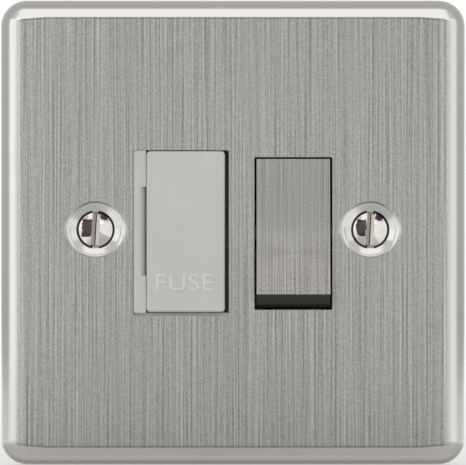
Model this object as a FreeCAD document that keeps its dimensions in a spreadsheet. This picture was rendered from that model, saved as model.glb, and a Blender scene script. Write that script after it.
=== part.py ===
import FreeCAD, Part
import os
import re

import PartDesign
import Sketcher
from FreeCAD import Placement, Rotation, Vector

# A fused connection unit for a wall box, in millimetres.
# X runs to the right, Z up and Y into the wall. The origin is the centre of the plate
# on the wall surface, so the plate stands in front of Y = 0 and the mouldings behind it.

doc = FreeCAD.newDocument("fused_spur_unit")
sheet = doc.addObject("Spreadsheet::Sheet", "Sizes")

SIZES = [
    # front plate, a shallow pressed tray
    ("plate_width", 102.0),
    ("plate_height", 102.0),
    ("plate_depth", 8.5),
    ("plate_gauge", 1.0),
    ("plate_corner", 5.7),
    ("plate_shoulder", 3.8),
    ("aperture_corner", 0.4),
    # dished seats and the two screws that hold the unit to its wall box
    ("fixing_centres", 60.3),
    ("fixing_rise", 0.6),
    ("dish_radius", 5.9),
    ("dish_sink", 1.0),
    ("dish_roll", 1.2),
    ("dish_skirt", 0.45),
    ("dish_step", 0.3),
    ("seat_radius", 4.05),
    ("fixing_hole", 2.0),
    ("head_radius", 3.75),
    ("head_crown", 1.0),
    ("thread_radius", 1.75),
    ("neck_radius", 1.5),
    ("neck_length", 1.1),
    ("fixing_length", 27.0),
    ("slot_width", 1.65),
    ("slot_sink", 1.35),
    ("slot_turn", 3.3),
    # fuse carrier and its pocket
    ("carrier_width", 17.2),
    ("carrier_height", 35.3),
    ("carrier_centre", -10.35),
    ("carrier_rise", 0.15),
    ("carrier_gauge", 2.2),
    ("carrier_proud", 0.8),
    ("carrier_corner", 0.85),
    ("carrier_edge", 0.5),
    ("hinge_inset", 4.75),
    ("hinge_set", 2.4),
    ("hinge_pin", 0.9),
    ("hinge_barrel", 1.9),
    ("hinge_bite", 1.2),
    ("pin_clearance", 0.05),
    ("latch_gap", 0.1),
    ("swing_gap", 1.15),
    ("end_gap", 0.15),
    ("sweep_gap", 0.6),
    ("sweep_wall", 2.0),
    ("sweep_clearance", 0.2),
    ("carrier_reach", 11.3),
    ("cheek_gauge", 1.5),
    ("pocket_wall", 1.2),
    ("pocket_lip", 0.3),
    ("ledge_height", 0.65),
    ("nib_width", 1.8),
    ("nib_place", -12.5),
    ("nib_length", 0.7),
    # moulded strip beside the carrier with its finger relief
    ("strip_width", 2.7),
    ("strip_gap", 0.1),
    ("relief_radius", 1.95),
    ("relief_length", 19.5),
    ("relief_rise", 0.25),
    # cartridge fuse
    ("fuse_length", 25.4),
    ("fuse_cap_radius", 3.15),
    ("fuse_body_radius", 2.95),
    ("fuse_cap_length", 5.5),
    ("fuse_cap_gauge", 0.4),
    ("fuse_aside", 6.0),
    ("fuse_behind", 5.0),
    ("fuse_gap", 0.1),
    ("clip_gauge", 1.2),
    ("clip_length", 6.0),
    ("clip_mouth", 4.6),
    ("contact_width", 4.6),
    ("contact_half", 2.2),
    ("contact_gauge", 0.5),
    ("contact_spacing", 19.8),
    ("contact_leg", 4.3),
    ("contact_foot", 4.8),
    # rocker and its well
    ("rocker_centre", 13.25),
    ("rocker_rise", -0.25),
    ("rocker_width", 16.1),
    ("rocker_gap", 0.5),
    ("rocker_reach", 17.5),
    ("rocker_skirt", 3.0),
    ("rocker_wall", 1.5),
    ("rocker_front", 6.4),
    ("mouth_gap", 0.385),
    ("well_gap", 0.7),
    ("pivot_set", 7.2),
    ("pivot_pin", 1.5),
    ("pivot_bite", 0.9),
    ("collar_radius", 2.8),
    ("collar_gap", 0.05),
    ("rocker_tilt", 9.0),
    ("cap_level", 9.75),
    ("cap_lip", 0.39),
    ("cap_sag", 1.3),
    ("cap_gauge", 0.5),
    ("stem_radius", 2.4),
    ("stem_length", 3.2),
    ("stem_bore", 1.65),
    ("stem_blind", 5.5),
    ("plunger_radius", 1.5),
    ("plunger_reach", 8.0),
    ("plunger_tail", 0.8),
    ("plunger_gap", 0.1),
    ("spring_radius", 1.2),
    ("spring_wire", 0.2),
    ("spring_pitch", 1.3),
    # contact arms, one for each pole
    ("live_pole", 9.25),
    ("neutral_pole", 17.25),
    ("arm_width", 4.6),
    ("arm_half", 10.5),
    ("arm_gauge", 0.8),
    ("arm_barrel", 1.0),
    ("rivet_radius", 1.4),
    ("rivet_shank", 0.7),
    ("rivet_height", 0.9),
    ("rivet_place", 9.4),
    ("fixed_rivet_place", 9.35),
    ("fulcrum_stand", 3.6),
    ("fulcrum_half", 1.6),
    ("fulcrum_drop", 0.4),
    # strips, terminals and their screws
    ("strip_gauge", 0.6),
    ("strip_breadth", 5.2),
    ("joggle_inset", 5.0),
    ("strip_toe", 2.8),
    ("link_breadth", 4.0),
    ("link_joggle", 3.0),
    ("terminal_wall", 2.2),
    ("terminal_width", 7.0),
    ("terminal_length", 7.6),
    ("terminal_depth", 7.6),
    ("terminal_bore", 2.4),
    ("terminal_skin", 1.1),
    ("terminal_gap", 0.1),
    ("load_live_centre", -10.1),
    ("earth_centre", -15.0),
    ("earth_width", 12.0),
    ("earth_pitch", 6.0),
    ("clamp_radius", 1.5),
    ("clamp_head", 2.2),
    ("clamp_head_length", 1.8),
    ("clamp_rise", 1.0),
    ("clamp_slot", 0.7),
    ("tunnel_gap", 0.25),
    ("wire_entry", 2.7),
    # mouldings behind the plate
    ("moulding_width", 62.0),
    ("moulding_end", 2.0),
    ("moulding_corner", 2.0),
    ("waist_width", 46.0),
    ("waist_height", 19.0),
    ("split_depth", 2.0),
    ("base_floor", 3.7),
    ("row_width", 48.0),
    ("row_edge", 18.5),
    ("row_rise", 3.0),
    ("row_round", 0.8),
    ("core_sink", 1.6),
    ("core_wall", 1.5),
    ("core_ribs", 3),
    ("flange_gauge", 2.5),
    ("press_rib", 2.4),
    ("funnel_flare", 0.8),
    ("pole_rib", 1.2),
    # screws between plate and mouldings
    ("plate_fix_spread", 55.0),
    ("plate_fix_inset", 5.8),
    ("pillar_radius", 2.4),
    ("pillar_length", 3.0),
    ("base_fix_spread", 55.0),
    ("base_fix_rise", 13.0),
    ("base_fix_bite", 5.0),
    ("small_thread", 1.1),
    ("small_hole", 1.3),
    ("small_head", 2.2),
    ("small_head_length", 1.5),
    ("small_seat", 1.9),
    ("small_counterbore", 2.7),
    ("thread_gap", 0.05),
    ("fit_gap", 0.1),
    # earth strap
    ("strap_width", 4.4),
    ("strap_end", 2.2),
]

for row, (name, value) in enumerate(SIZES, start=1):
    sheet.set("A%d" % row, name)
    sheet.set("B%d" % row, str(value))
    sheet.setAlias("B%d" % row, name)
doc.recompute()

NAMES = {name for name, value in SIZES}


def bound(text):
    """Expression text with every size name pointed at the sheet."""
    return re.sub(r"[a-z][a-z_]*", lambda m: "Sizes." + m.group() if m.group() in NAMES else m.group(), text)


def number(text):
    return float(sheet.evalExpression(bound(text)))


def bind(thing, **values):
    for key, text in values.items():
        thing.setExpression(key, bound(text))


def put(thing, at):
    """Ties the position of an object to three expressions."""
    for axis, text in zip("xyz", at):
        thing.setExpression("Placement.Base." + axis, bound(text))


# Basic solids, each given by expressions

def block(label, across, depth, up):
    """Box between two X, two Y and two Z positions."""
    solid = doc.addObject("Part::Box", label)
    bind(solid, Length="(%s) - (%s)" % (across[1], across[0]))
    bind(solid, Width="(%s) - (%s)" % (depth[1], depth[0]))
    bind(solid, Height="(%s) - (%s)" % (up[1], up[0]))
    put(solid, (across[0], depth[0], up[0]))
    return solid


TURNS = {
    "x": Rotation(Vector(0, 1, 0), 90),
    "y": Rotation(Vector(1, 0, 0), -90),
    "z": Rotation(),
}


def along(axis, start, one, two):
    """Position with start on the named axis and the other two in X, Y, Z order."""
    return {"x": (start, one, two), "y": (one, start, two), "z": (one, two, start)}[axis]


def rod(label, axis, radius, one, two, span):
    solid = doc.addObject("Part::Cylinder", label)
    solid.Placement = Placement(Vector(), TURNS[axis])
    bind(solid, Radius=radius, Height="(%s) - (%s)" % (span[1], span[0]))
    put(solid, along(axis, span[0], one, two))
    return solid


def taper(label, axis, radii, one, two, span):
    solid = doc.addObject("Part::Cone", label)
    solid.Placement = Placement(Vector(), TURNS[axis])
    bind(solid, Radius1=radii[0], Radius2=radii[1], Height="(%s) - (%s)" % (span[1], span[0]))
    put(solid, along(axis, span[0], one, two))
    return solid


def ball(label, radius, at):
    solid = doc.addObject("Part::Sphere", label)
    bind(solid, Radius=radius)
    put(solid, at)
    return solid


def join(label, *pieces):
    whole = doc.addObject("Part::MultiFuse", label)
    whole.Shapes = list(pieces)
    whole.Refine = True
    return whole


def cut(label, base, *tools):
    tool = tools[0] if len(tools) == 1 else join(label + "_tools", *tools)
    whole = doc.addObject("Part::Cut", label)
    whole.Base = base
    whole.Tool = tool
    whole.Refine = True
    return whole


def common(label, *pieces):
    whole = doc.addObject("Part::MultiCommon", label)
    whole.Shapes = list(pieces)
    whole.Refine = True
    return whole


# Sketches, with every corner tied to the sheet

def outline(sketch, points):
    spots = [Vector(number(a), number(b), 0) for a, b in points]
    lines = []
    for here, there in zip(spots, spots[1:] + spots[:1]):
        lines.append(sketch.addGeometry(Part.LineSegment(here, there), False))
    for line, follower in zip(lines, lines[1:] + lines[:1]):
        sketch.addConstraint(Sketcher.Constraint("Coincident", line, 2, follower, 1))
    for line, spot, (a, b) in zip(lines, spots, points):
        for kind, value, text in (("DistanceX", spot.x, a), ("DistanceY", spot.y, b)):
            index = sketch.addConstraint(Sketcher.Constraint(kind, -1, 1, line, 1, value))
            sketch.setExpression("Constraints[%d]" % index, bound(text))


SIDES = {
    "xy": (Rotation(), "z", Vector(0, 0, 1)),
    "yz": (Rotation(0.5, 0.5, 0.5, 0.5), "x", Vector(1, 0, 0)),
}


def strip(label, side, points, span):
    """Folded strip: its bent edge drawn in one plane and drawn out square to it."""
    turn, axis, way = SIDES[side]
    sketch = doc.addObject("Sketcher::SketchObject", label + "_edge")
    sketch.Placement = Placement(Vector(), turn)
    sketch.setExpression("Placement.Base." + axis, bound(span[0]))
    outline(sketch, points)
    solid = doc.addObject("Part::Extrusion", label)
    solid.Base = sketch
    solid.DirMode = "Custom"
    solid.Dir = way
    solid.Solid = True
    bind(solid, LengthFwd="(%s) - (%s)" % (span[1], span[0]))
    return solid


def rectangle(across, up):
    return [(across[0], up[0]), (across[1], up[0]), (across[1], up[1]), (across[0], up[1])]


def drawn(body, name, points, front):
    """Sketch on the body's own upright plane, moved to a depth."""
    plane = [item for item in body.Origin.OriginFeatures if item.Role == "XZ_Plane"][0]
    sketch = body.newObject("Sketcher::SketchObject", name)
    sketch.AttachmentSupport = [(plane, "")]
    sketch.MapMode = "FlatFace"
    sketch.setExpression("AttachmentOffset.Base.z", bound("-(%s)" % front))
    outline(sketch, points)
    return sketch


def padded_body(label, points, depth):
    """Body whose first feature is an outline drawn out from the back to the front."""
    body = doc.addObject("PartDesign::Body", label)
    sketch = drawn(body, label + "_outline", points, depth[1])
    pad = body.newObject("PartDesign::Pad", label + "_pad")
    pad.Profile = sketch
    bind(pad, Length="(%s) - (%s)" % (depth[1], depth[0]))
    doc.recompute()
    return body


def rounded(body, name, radius, wanted):
    """Fillet on the edges of the body's last feature that the test picks."""
    base = body.Tip
    edges = ["Edge%d" % (i + 1) for i, edge in enumerate(base.Shape.Edges) if wanted(edge)]
    feature = body.newObject("PartDesign::Fillet", name)
    feature.Base = (base, edges)
    bind(feature, Radius=radius)
    doc.recompute()
    return feature


def runs_deep(edge):
    box = edge.BoundBox
    return box.YLength > 0.1 and box.XLength < 1e-6 and box.ZLength < 1e-6


def lies_at(depth):
    return lambda edge: abs(edge.BoundBox.YMin - depth) < 1e-5 and abs(edge.BoundBox.YMax - depth) < 1e-5


# Levels and edges that several pieces share

FACE = "(-plate_depth)"
INNER = "(plate_gauge - plate_depth)"
HINGE_X = "(carrier_centre + carrier_width / 2 - hinge_inset)"
HINGE_Y = "(hinge_set - plate_depth)"
CARRIER_FRONT = "(-plate_depth - carrier_proud)"
CARRIER_BACK = "(-plate_depth - carrier_proud + carrier_gauge)"
CARRIER_LEFT = "(carrier_centre - carrier_width / 2)"
CARRIER_RIGHT = "(carrier_centre + carrier_width / 2)"
CARRIER_LOW = "(carrier_rise - carrier_height / 2)"
CARRIER_HIGH = "(carrier_rise + carrier_height / 2)"
POCKET_LEFT = "(%s - latch_gap)" % CARRIER_LEFT
POCKET_RIGHT = "(%s + swing_gap)" % CARRIER_RIGHT
POCKET_LOW = "(%s - end_gap)" % CARRIER_LOW
POCKET_HIGH = "(%s + end_gap)" % CARRIER_HIGH
POCKET_FLOOR = "(%s + carrier_reach + sweep_gap)" % HINGE_Y
STRIP_FRONT = "(%s + pocket_wall)" % POCKET_FLOOR
STRIP_BACK = "(%s + strip_gauge)" % STRIP_FRONT
FUSE_X = "(%s - fuse_aside)" % HINGE_X
FUSE_Y = "(%s + fuse_behind)" % HINGE_Y
SWING = "sqrt(fuse_aside ^ 2 + fuse_behind ^ 2)"
AWAY_X = "(fuse_behind / %s)" % SWING
AWAY_Y = "(fuse_aside / %s)" % SWING
PIVOT_Y = "(pivot_set - plate_depth)"
MOUTH_HALF = "(sqrt(rocker_reach ^ 2 - (pivot_set - plate_gauge) ^ 2) + mouth_gap)"
WELL_LEFT = "(rocker_centre - rocker_width / 2 - rocker_gap)"
WELL_RIGHT = "(rocker_centre + rocker_width / 2 + rocker_gap)"
WELL_LOW = "(rocker_rise - rocker_reach - well_gap)"
WELL_HIGH = "(rocker_rise + rocker_reach + well_gap)"
JOGGLE = "(rocker_reach + well_gap - joggle_inset)"
ROW_Z = "(rocker_reach + well_gap + terminal_wall + terminal_length / 2)"
HALF_HIGH = "(%s + terminal_length / 2 + moulding_end)" % ROW_Z
PLATE_FIX_Z = "(%s - plate_fix_inset)" % HALF_HIGH
CAP_HALF = "(sqrt((rocker_reach + cap_lip) ^ 2 - cap_level ^ 2))"
FULCRUM_Y = "(%s + plunger_reach + plunger_gap + arm_gauge)" % PIVOT_Y
REST_FRONT = "(%s + fulcrum_stand)" % FULCRUM_Y
REST_BACK = "(%s + strip_gauge)" % REST_FRONT
BASE_BACK = "(%s + base_floor)" % REST_BACK
ROW_BACK = "(%s + row_rise)" % BASE_BACK
BORE_Y = "(%s + terminal_skin + terminal_bore)" % STRIP_BACK
BLOCK_BACK = "(%s + terminal_depth)" % STRIP_BACK
POLES = (("live", "live_pole"), ("neutral", "neutral_pole"))
SCREW_SIDES = (("left", "(-fixing_centres / 2)"), ("right", "(fixing_centres / 2)"))
CORNERS = (("top_left", "-", ""), ("top_right", "", ""), ("bottom_left", "-", "-"), ("bottom_right", "", "-"))

PIECES = []


def keep(piece):
    PIECES.append(piece)
    return piece


# Front plate: a pressed tray with two apertures and two dished screw seats

tray = padded_body(
    "plate_tray",
    rectangle(("-plate_width / 2", "plate_width / 2"), ("-plate_height / 2", "plate_height / 2")),
    (FACE, "0"),
)
rounded(tray, "plate_corners", "plate_corner", runs_deep)
rounded(tray, "plate_shoulders", "plate_shoulder", lies_at(number(FACE)))
shell = tray.newObject("PartDesign::Thickness", "plate_shell")
solid_plate = tray.Group[-2].Shape
shell.Base = (tray.Group[-2], ["Face%d" % (i + 1) for i, face in enumerate(solid_plate.Faces)
                               if face.BoundBox.YMin > -1e-5])
bind(shell, Value="plate_gauge")
shell.Reversed = True
shell.Join = 0
doc.recompute()


def pocket_through(body, name, points):
    """Opening through the plate, seen from its face."""
    sketch = drawn(body, name + "_outline", points, FACE)
    pocket = body.newObject("PartDesign::Pocket", name)
    pocket.Profile = sketch
    bind(pocket, Length="plate_gauge * 2")
    before = body.Shape.Volume
    doc.recompute()
    if abs(body.Shape.Volume - before) < 1e-6:
        pocket.Reversed = True
        doc.recompute()
    return pocket


def opening_edges(low, high, left, right):
    """Short edges at the corners of one opening of the plate."""
    def wanted(edge):
        box = edge.BoundBox
        near_x = min(abs(box.XMin - left), abs(box.XMin - right)) < 1e-4
        near_z = min(abs(box.ZMin - low), abs(box.ZMin - high)) < 1e-4
        return runs_deep(edge) and near_x and near_z
    return wanted


FUSE_MOUTH = (
    ("%s - strip_width - strip_gap" % POCKET_LEFT, "%s - pocket_lip" % POCKET_RIGHT),
    ("%s - ledge_height" % POCKET_LOW, "%s + strip_gap" % POCKET_HIGH),
)
ROCKER_MOUTH = (
    (WELL_LEFT, WELL_RIGHT),
    ("rocker_rise - " + MOUTH_HALF, "rocker_rise + " + MOUTH_HALF),
)
pocket_through(tray, "fuse_mouth", rectangle(*FUSE_MOUTH))
fuse_edges = opening_edges(number(FUSE_MOUTH[1][0]), number(FUSE_MOUTH[1][1]),
                           number(FUSE_MOUTH[0][0]), number(FUSE_MOUTH[0][1]))
rounded(tray, "fuse_mouth_corners", "aperture_corner", fuse_edges)
pocket_through(tray, "rocker_mouth", rectangle(*ROCKER_MOUTH))
rocker_edges = opening_edges(number(ROCKER_MOUTH[1][0]), number(ROCKER_MOUTH[1][1]),
                             number(ROCKER_MOUTH[0][0]), number(ROCKER_MOUTH[0][1]))
rounded(tray, "rocker_mouth_corners", "aperture_corner", rocker_edges)

SEAT_Y = "(-plate_depth + dish_sink)"
SEAT_END = "(-plate_depth + dish_sink + seat_radius - fixing_hole)"
BOSS_END = "(%s + plate_gauge - 0.15)" % SEAT_END
plate_adds = []
plate_cuts = []
for side, x in SCREW_SIDES:
    wall = "plate_gauge * 0.4"
    plate_adds.append(taper("dish_wall_" + side, "y",
                            ("dish_radius + %s" % wall, "seat_radius + plate_gauge"),
                            x, "fixing_rise", (INNER, "%s + plate_gauge" % SEAT_Y)))
    plate_adds.append(taper("seat_wall_" + side, "y",
                            ("seat_radius + plate_gauge", "fixing_hole + plate_gauge"),
                            x, "fixing_rise", ("%s + plate_gauge" % SEAT_Y, BOSS_END)))
    plate_adds.append(rod("dish_web_" + side, "y", "dish_radius + %s" % wall, x, "fixing_rise",
                          ("%s + plate_gauge / 2" % FACE, INNER)))
    sphere_radius = "((dish_radius ^ 2 + dish_depth_all ^ 2) / (2 * dish_depth_all))"
    sphere_radius = sphere_radius.replace("dish_depth_all", "(dish_sink * 1.9)")
    scoop = ball("dish_scoop_" + side, sphere_radius,
                 (x, "%s + dish_sink * 1.9 - %s" % (FACE, sphere_radius), "fixing_rise"))
    scoop_limit = rod("dish_limit_" + side, "y", "dish_radius + 1", x, "fixing_rise",
                      ("%s - 1" % FACE, "%s + 0.001" % SEAT_Y))
    plate_cuts.append(common("dish_hollow_" + side, scoop, scoop_limit))
    rim = "(dish_radius + dish_skirt)"
    lip = rod("dish_lip_" + side, "y", rim, x, "fixing_rise", ("%s - 1" % FACE, "%s + dish_step" % FACE))
    roll = doc.addObject("Part::Torus", "dish_roll_" + side)
    roll.Placement = Placement(Vector(), TURNS["y"])
    bind(roll, Radius1=rim, Radius2="dish_roll")
    put(roll, (x, "%s + dish_roll * 0.99" % FACE, "fixing_rise"))
    plate_cuts.append(cut("dish_rim_" + side, lip, roll))
    plate_cuts.append(taper("seat_hollow_" + side, "y", ("seat_radius", "fixing_hole"),
                            x, "fixing_rise", (SEAT_Y, SEAT_END)))
    plate_cuts.append(rod("fixing_hole_" + side, "y", "fixing_hole", x, "fixing_rise",
                          (SEAT_Y, "%s + 1" % BOSS_END)))
for corner, sx, sz in CORNERS:
    x = sx + "plate_fix_spread / 2"
    z = sz + PLATE_FIX_Z
    plate_adds.append(rod("pillar_" + corner, "y", "pillar_radius", x, z,
                          ("%s - plate_gauge / 2" % INNER, "%s + pillar_length" % INNER)))
    plate_cuts.append(rod("pillar_hole_" + corner, "y", "small_thread + thread_gap", x, z,
                          (INNER, "%s + pillar_length + 1" % INNER)))
keep(cut("front_plate", join("plate_blank", tray, *plate_adds), *plate_cuts))

# Raised countersunk screws to the wall box

for side, x in SCREW_SIDES:
    edge_y = "(%s + seat_radius - head_radius - 0.02)" % SEAT_Y
    cone_end = "(%s + head_radius - neck_radius)" % edge_y
    crown = "((head_radius ^ 2 + head_crown ^ 2) / (2 * head_crown))"
    cap = common("head_crown_" + side,
                 ball("head_ball_" + side, crown,
                      (x, "%s - head_crown + %s" % (edge_y, crown), "fixing_rise")),
                 rod("head_bar_" + side, "y", "head_radius", x, "fixing_rise",
                     ("%s - head_crown - 1" % edge_y, edge_y)))
    cone = taper("head_cone_" + side, "y", ("head_radius", "neck_radius"), x, "fixing_rise",
                 (edge_y, cone_end))
    neck = rod("neck_" + side, "y", "neck_radius", x, "fixing_rise",
               (cone_end, "%s + neck_length" % cone_end))
    thread = rod("thread_" + side, "y", "thread_radius", x, "fixing_rise",
                 ("%s + neck_length" % cone_end, "%s + fixing_length" % edge_y))
    tip = taper("tip_" + side, "y", ("thread_radius", "thread_radius - 0.6"), x, "fixing_rise",
                ("%s + fixing_length" % edge_y, "%s + fixing_length + 0.6" % edge_y))
    driver = doc.addObject("Part::Box", "slot_" + side)
    driver.Placement = Placement(Vector(), Rotation(Vector(0, 1, 0), 3.3))
    bind(driver, Length="slot_width", Width="slot_sink", Height="head_radius * 2 + 1")
    bind(driver, **{"Placement.Rotation.Angle": "slot_turn"})
    put(driver, ("%s - slot_width / 2 * cos(slot_turn) - (head_radius + 0.5) * sin(slot_turn)" % x,
                 "%s - head_crown" % edge_y,
                 "fixing_rise + slot_width / 2 * sin(slot_turn) - (head_radius + 0.5) * cos(slot_turn)"))
    keep(cut("fixing_screw_" + side, join("screw_blank_" + side, cap, cone, neck, thread, tip), driver))

# Outline that both mouldings share: waisted, to pass the lugs of the wall box

half_wide = "moulding_width / 2"
half_high = HALF_HIGH
half_waist = "waist_width / 2"
half_notch = "waist_height / 2"
WAISTED = [
    ("-" + half_wide, "-" + half_high), (half_wide, "-" + half_high),
    (half_wide, "-" + half_notch), (half_waist, "-" + half_notch),
    (half_waist, half_notch), (half_wide, half_notch),
    (half_wide, half_high), ("-" + half_wide, half_high),
    ("-" + half_wide, half_notch), ("-" + half_waist, half_notch),
    ("-" + half_waist, "-" + half_notch), ("-" + half_wide, "-" + half_notch),
]


def corner_edges(edge):
    box = edge.BoundBox
    at_side = abs(abs(box.XMin) - number(half_wide)) < 1e-4
    return runs_deep(edge) and at_side


# Front moulding: flange behind the plate, fuse pocket, rocker well

flange = padded_body("front_flange", WAISTED, (INNER, "split_depth"))
rounded(flange, "front_flange_corners", "moulding_corner", corner_edges)
pocket_box = block("pocket_box",
                   ("%s - pocket_wall" % POCKET_LEFT, "%s + pocket_wall" % POCKET_RIGHT),
                   ("split_depth - 1", STRIP_FRONT),
                   ("%s - pocket_wall" % POCKET_LOW, "%s + pocket_wall" % POCKET_HIGH))
beside = padded_body("beside_strip", rectangle(("%s - strip_width" % POCKET_LEFT, POCKET_LEFT),
                                               (POCKET_LOW, POCKET_HIGH)),
                     (FACE, "%s + 1" % INNER))
strip_left = number("%s - strip_width" % POCKET_LEFT)
rounded(beside, "beside_strip_corners", "aperture_corner + strip_gap",
        lambda edge: runs_deep(edge) and abs(edge.BoundBox.XMin - strip_left) < 1e-4)
relief = cut("relief_hollow",
             block("relief_box", ("%s - relief_radius" % POCKET_LEFT, "%s + 1" % POCKET_LEFT),
                   ("%s - 1" % FACE, "%s + relief_radius" % FACE),
                   ("relief_rise - relief_length / 2", "relief_rise + relief_length / 2")),
             rod("relief_roll", "z", "relief_radius", "%s - relief_radius" % POCKET_LEFT,
                 "%s + relief_radius" % FACE,
                 ("relief_rise - relief_length / 2 - 1", "relief_rise + relief_length / 2 + 1")))
nib = block("latch_nib", ("nib_place - nib_width / 2", "nib_place + nib_width / 2"),
            (INNER, "%s + nib_length" % INNER), ("%s - 0.2" % POCKET_LOW, "%s - end_gap / 3" % CARRIER_LOW))
front_cuts = [
    block("pocket_space", (POCKET_LEFT, POCKET_RIGHT), ("%s - 2" % FACE, POCKET_FLOOR),
          (POCKET_LOW, POCKET_HIGH)),
    block("well_space", (WELL_LEFT, WELL_RIGHT), ("%s - 2" % FACE, "split_depth + 1"),
          (WELL_LOW, WELL_HIGH)),
    rod("hinge_hole", "z", "hinge_pin + pin_clearance", HINGE_X, HINGE_Y,
        ("%s - hinge_bite - end_gap" % POCKET_LOW, "%s + hinge_bite + end_gap" % POCKET_HIGH)),
    rod("pivot_hole_left", "x", "pivot_pin + pin_clearance", PIVOT_Y, "rocker_rise",
        ("%s - pivot_bite - collar_gap * 4" % WELL_LEFT, "%s + 1" % WELL_LEFT)),
    rod("pivot_hole_right", "x", "pivot_pin + pin_clearance", PIVOT_Y, "rocker_rise",
        ("%s - 1" % WELL_RIGHT, "waist_width / 2 + 1")),
    relief,
]
CORE_LOW = "(rocker_reach + well_gap + hinge_bite + end_gap + core_wall / 2)"
for side, sign in (("top", ""), ("bottom", "-")):
    up = ("%s%s" % (sign, CORE_LOW), "%s(%s - core_wall)" % (sign, HALF_HIGH))
    reach = "(plate_fix_spread / 2 - pillar_radius - core_wall)"
    left = "earth_centre - earth_pitch * 0.6" if sign == "" else "-" + reach
    front_cuts.append(block("front_core_" + side, (left, reach),
                            ("%s + flange_gauge" % INNER, "split_depth + 1"),
                            up if sign == "" else up[::-1]))
SEAT_SMALL = "(%s + pillar_length + small_seat)" % INNER
for corner, sx, sz in CORNERS:
    x = sx + "plate_fix_spread / 2"
    z = sz + PLATE_FIX_Z
    front_cuts.append(rod("pillar_pocket_" + corner, "y", "pillar_radius + fit_gap", x, z,
                          ("%s - 1" % INNER, "%s + pillar_length" % INNER)))
    front_cuts.append(rod("plate_fix_hole_" + corner, "y", "small_hole", x, z, (INNER, "split_depth")))
    front_cuts.append(rod("plate_fix_sink_" + corner, "y", "small_counterbore", x, z,
                          (SEAT_SMALL, "split_depth + 1")))
    bx = sx + "base_fix_spread / 2"
    bz = sz + "base_fix_rise"
    front_cuts.append(rod("base_fix_pilot_" + corner, "y", "small_thread + thread_gap", bx, bz,
                          ("split_depth - base_fix_bite - 0.5", "split_depth + 1")))
STRAP_LEFT = "(-plate_fix_spread / 2 - strap_end)"
STRAP_TURN = "(earth_centre - earth_width / 2 + strip_gauge * 2 + fit_gap * 4)"
front_cuts.append(block("strap_way", ("%s - fit_gap * 2" % STRAP_LEFT, "%s + fit_gap * 2" % STRAP_TURN),
                        (SEAT_SMALL, "split_depth + 1"),
                        ("%s - strap_width / 2 - fit_gap" % PLATE_FIX_Z,
                         "%s + strap_width / 2 + fit_gap" % PLATE_FIX_Z)))

# Fuse contacts press on the caps from behind, square to the swing of the carrier

TOUCH = "(fuse_cap_radius + fuse_gap)"
TOUCH_X = "(%s + %s * %s)" % (FUSE_X, TOUCH, AWAY_X)
TOUCH_Y = "(%s + %s * %s)" % (FUSE_Y, TOUCH, AWAY_Y)
LEG_X = "(%s + contact_leg)" % FUSE_X
CONTACTS = (
    ("top", "(carrier_rise + contact_spacing / 2)"),
    ("bottom", "(carrier_rise - contact_spacing / 2)"),
)


def leaf_point(slide, back):
    """Point of the leaf: slid along it from the touching line, and back from the fuse."""
    x = "%s - %s * (%s) + %s * (%s)" % (TOUCH_X, AWAY_Y, slide, AWAY_X, back)
    y = "%s + %s * (%s) + %s * (%s)" % (TOUCH_Y, AWAY_X, slide, AWAY_Y, back)
    return x, y


for end, z in CONTACTS:
    front_cuts.append(block("leg_slot_" + end,
                            ("%s - fit_gap" % LEG_X, "%s + contact_gauge + fit_gap" % LEG_X),
                            ("%s - 1" % POCKET_FLOOR, "%s + 1" % STRIP_FRONT),
                            ("%s - contact_width / 2 - fit_gap" % z, "%s + contact_width / 2 + fit_gap" % z)))
front_hollow = cut("front_hollow", join("front_blank", flange, pocket_box, beside, nib), *front_cuts)
SWEEP = "(sqrt(hinge_inset ^ 2 + (hinge_set + carrier_proud) ^ 2) + sweep_clearance)"
sweep_block = block("sweep_block", ("%s - sweep_wall" % POCKET_RIGHT, "%s + pocket_wall / 2" % POCKET_RIGHT),
                    (INNER, "%s + pocket_wall / 2" % POCKET_FLOOR),
                    ("%s - pocket_wall / 2" % POCKET_LOW, "%s + pocket_wall / 2" % POCKET_HIGH))
sweep_roll = rod("sweep_roll", "z", SWEEP, HINGE_X, HINGE_Y, (POCKET_LOW, POCKET_HIGH))
moulding_adds = [cut("sweep_wall_solid", sweep_block, sweep_roll)]
for name, x, side in (("supply_live", "live_pole", ""), ("supply_neutral", "neutral_pole", ""),
                      ("earth", "earth_centre", ""), ("load_neutral", "neutral_pole", "-"),
                      ("load_live", "load_live_centre", "-")):
    z = side + ROW_Z
    moulding_adds.append(block("press_rib_" + name, ("%s - press_rib / 2" % x, "%s + press_rib / 2" % x),
                               ("%s + flange_gauge / 2" % INNER, "%s - fit_gap" % STRIP_FRONT),
                               ("%s - press_rib" % z, "%s + press_rib" % z)))
keep(join("front_moulding", front_hollow, *moulding_adds))

# Fuse carrier: a door on two pins near its right edge, with cheeks and a clip for the fuse

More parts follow.
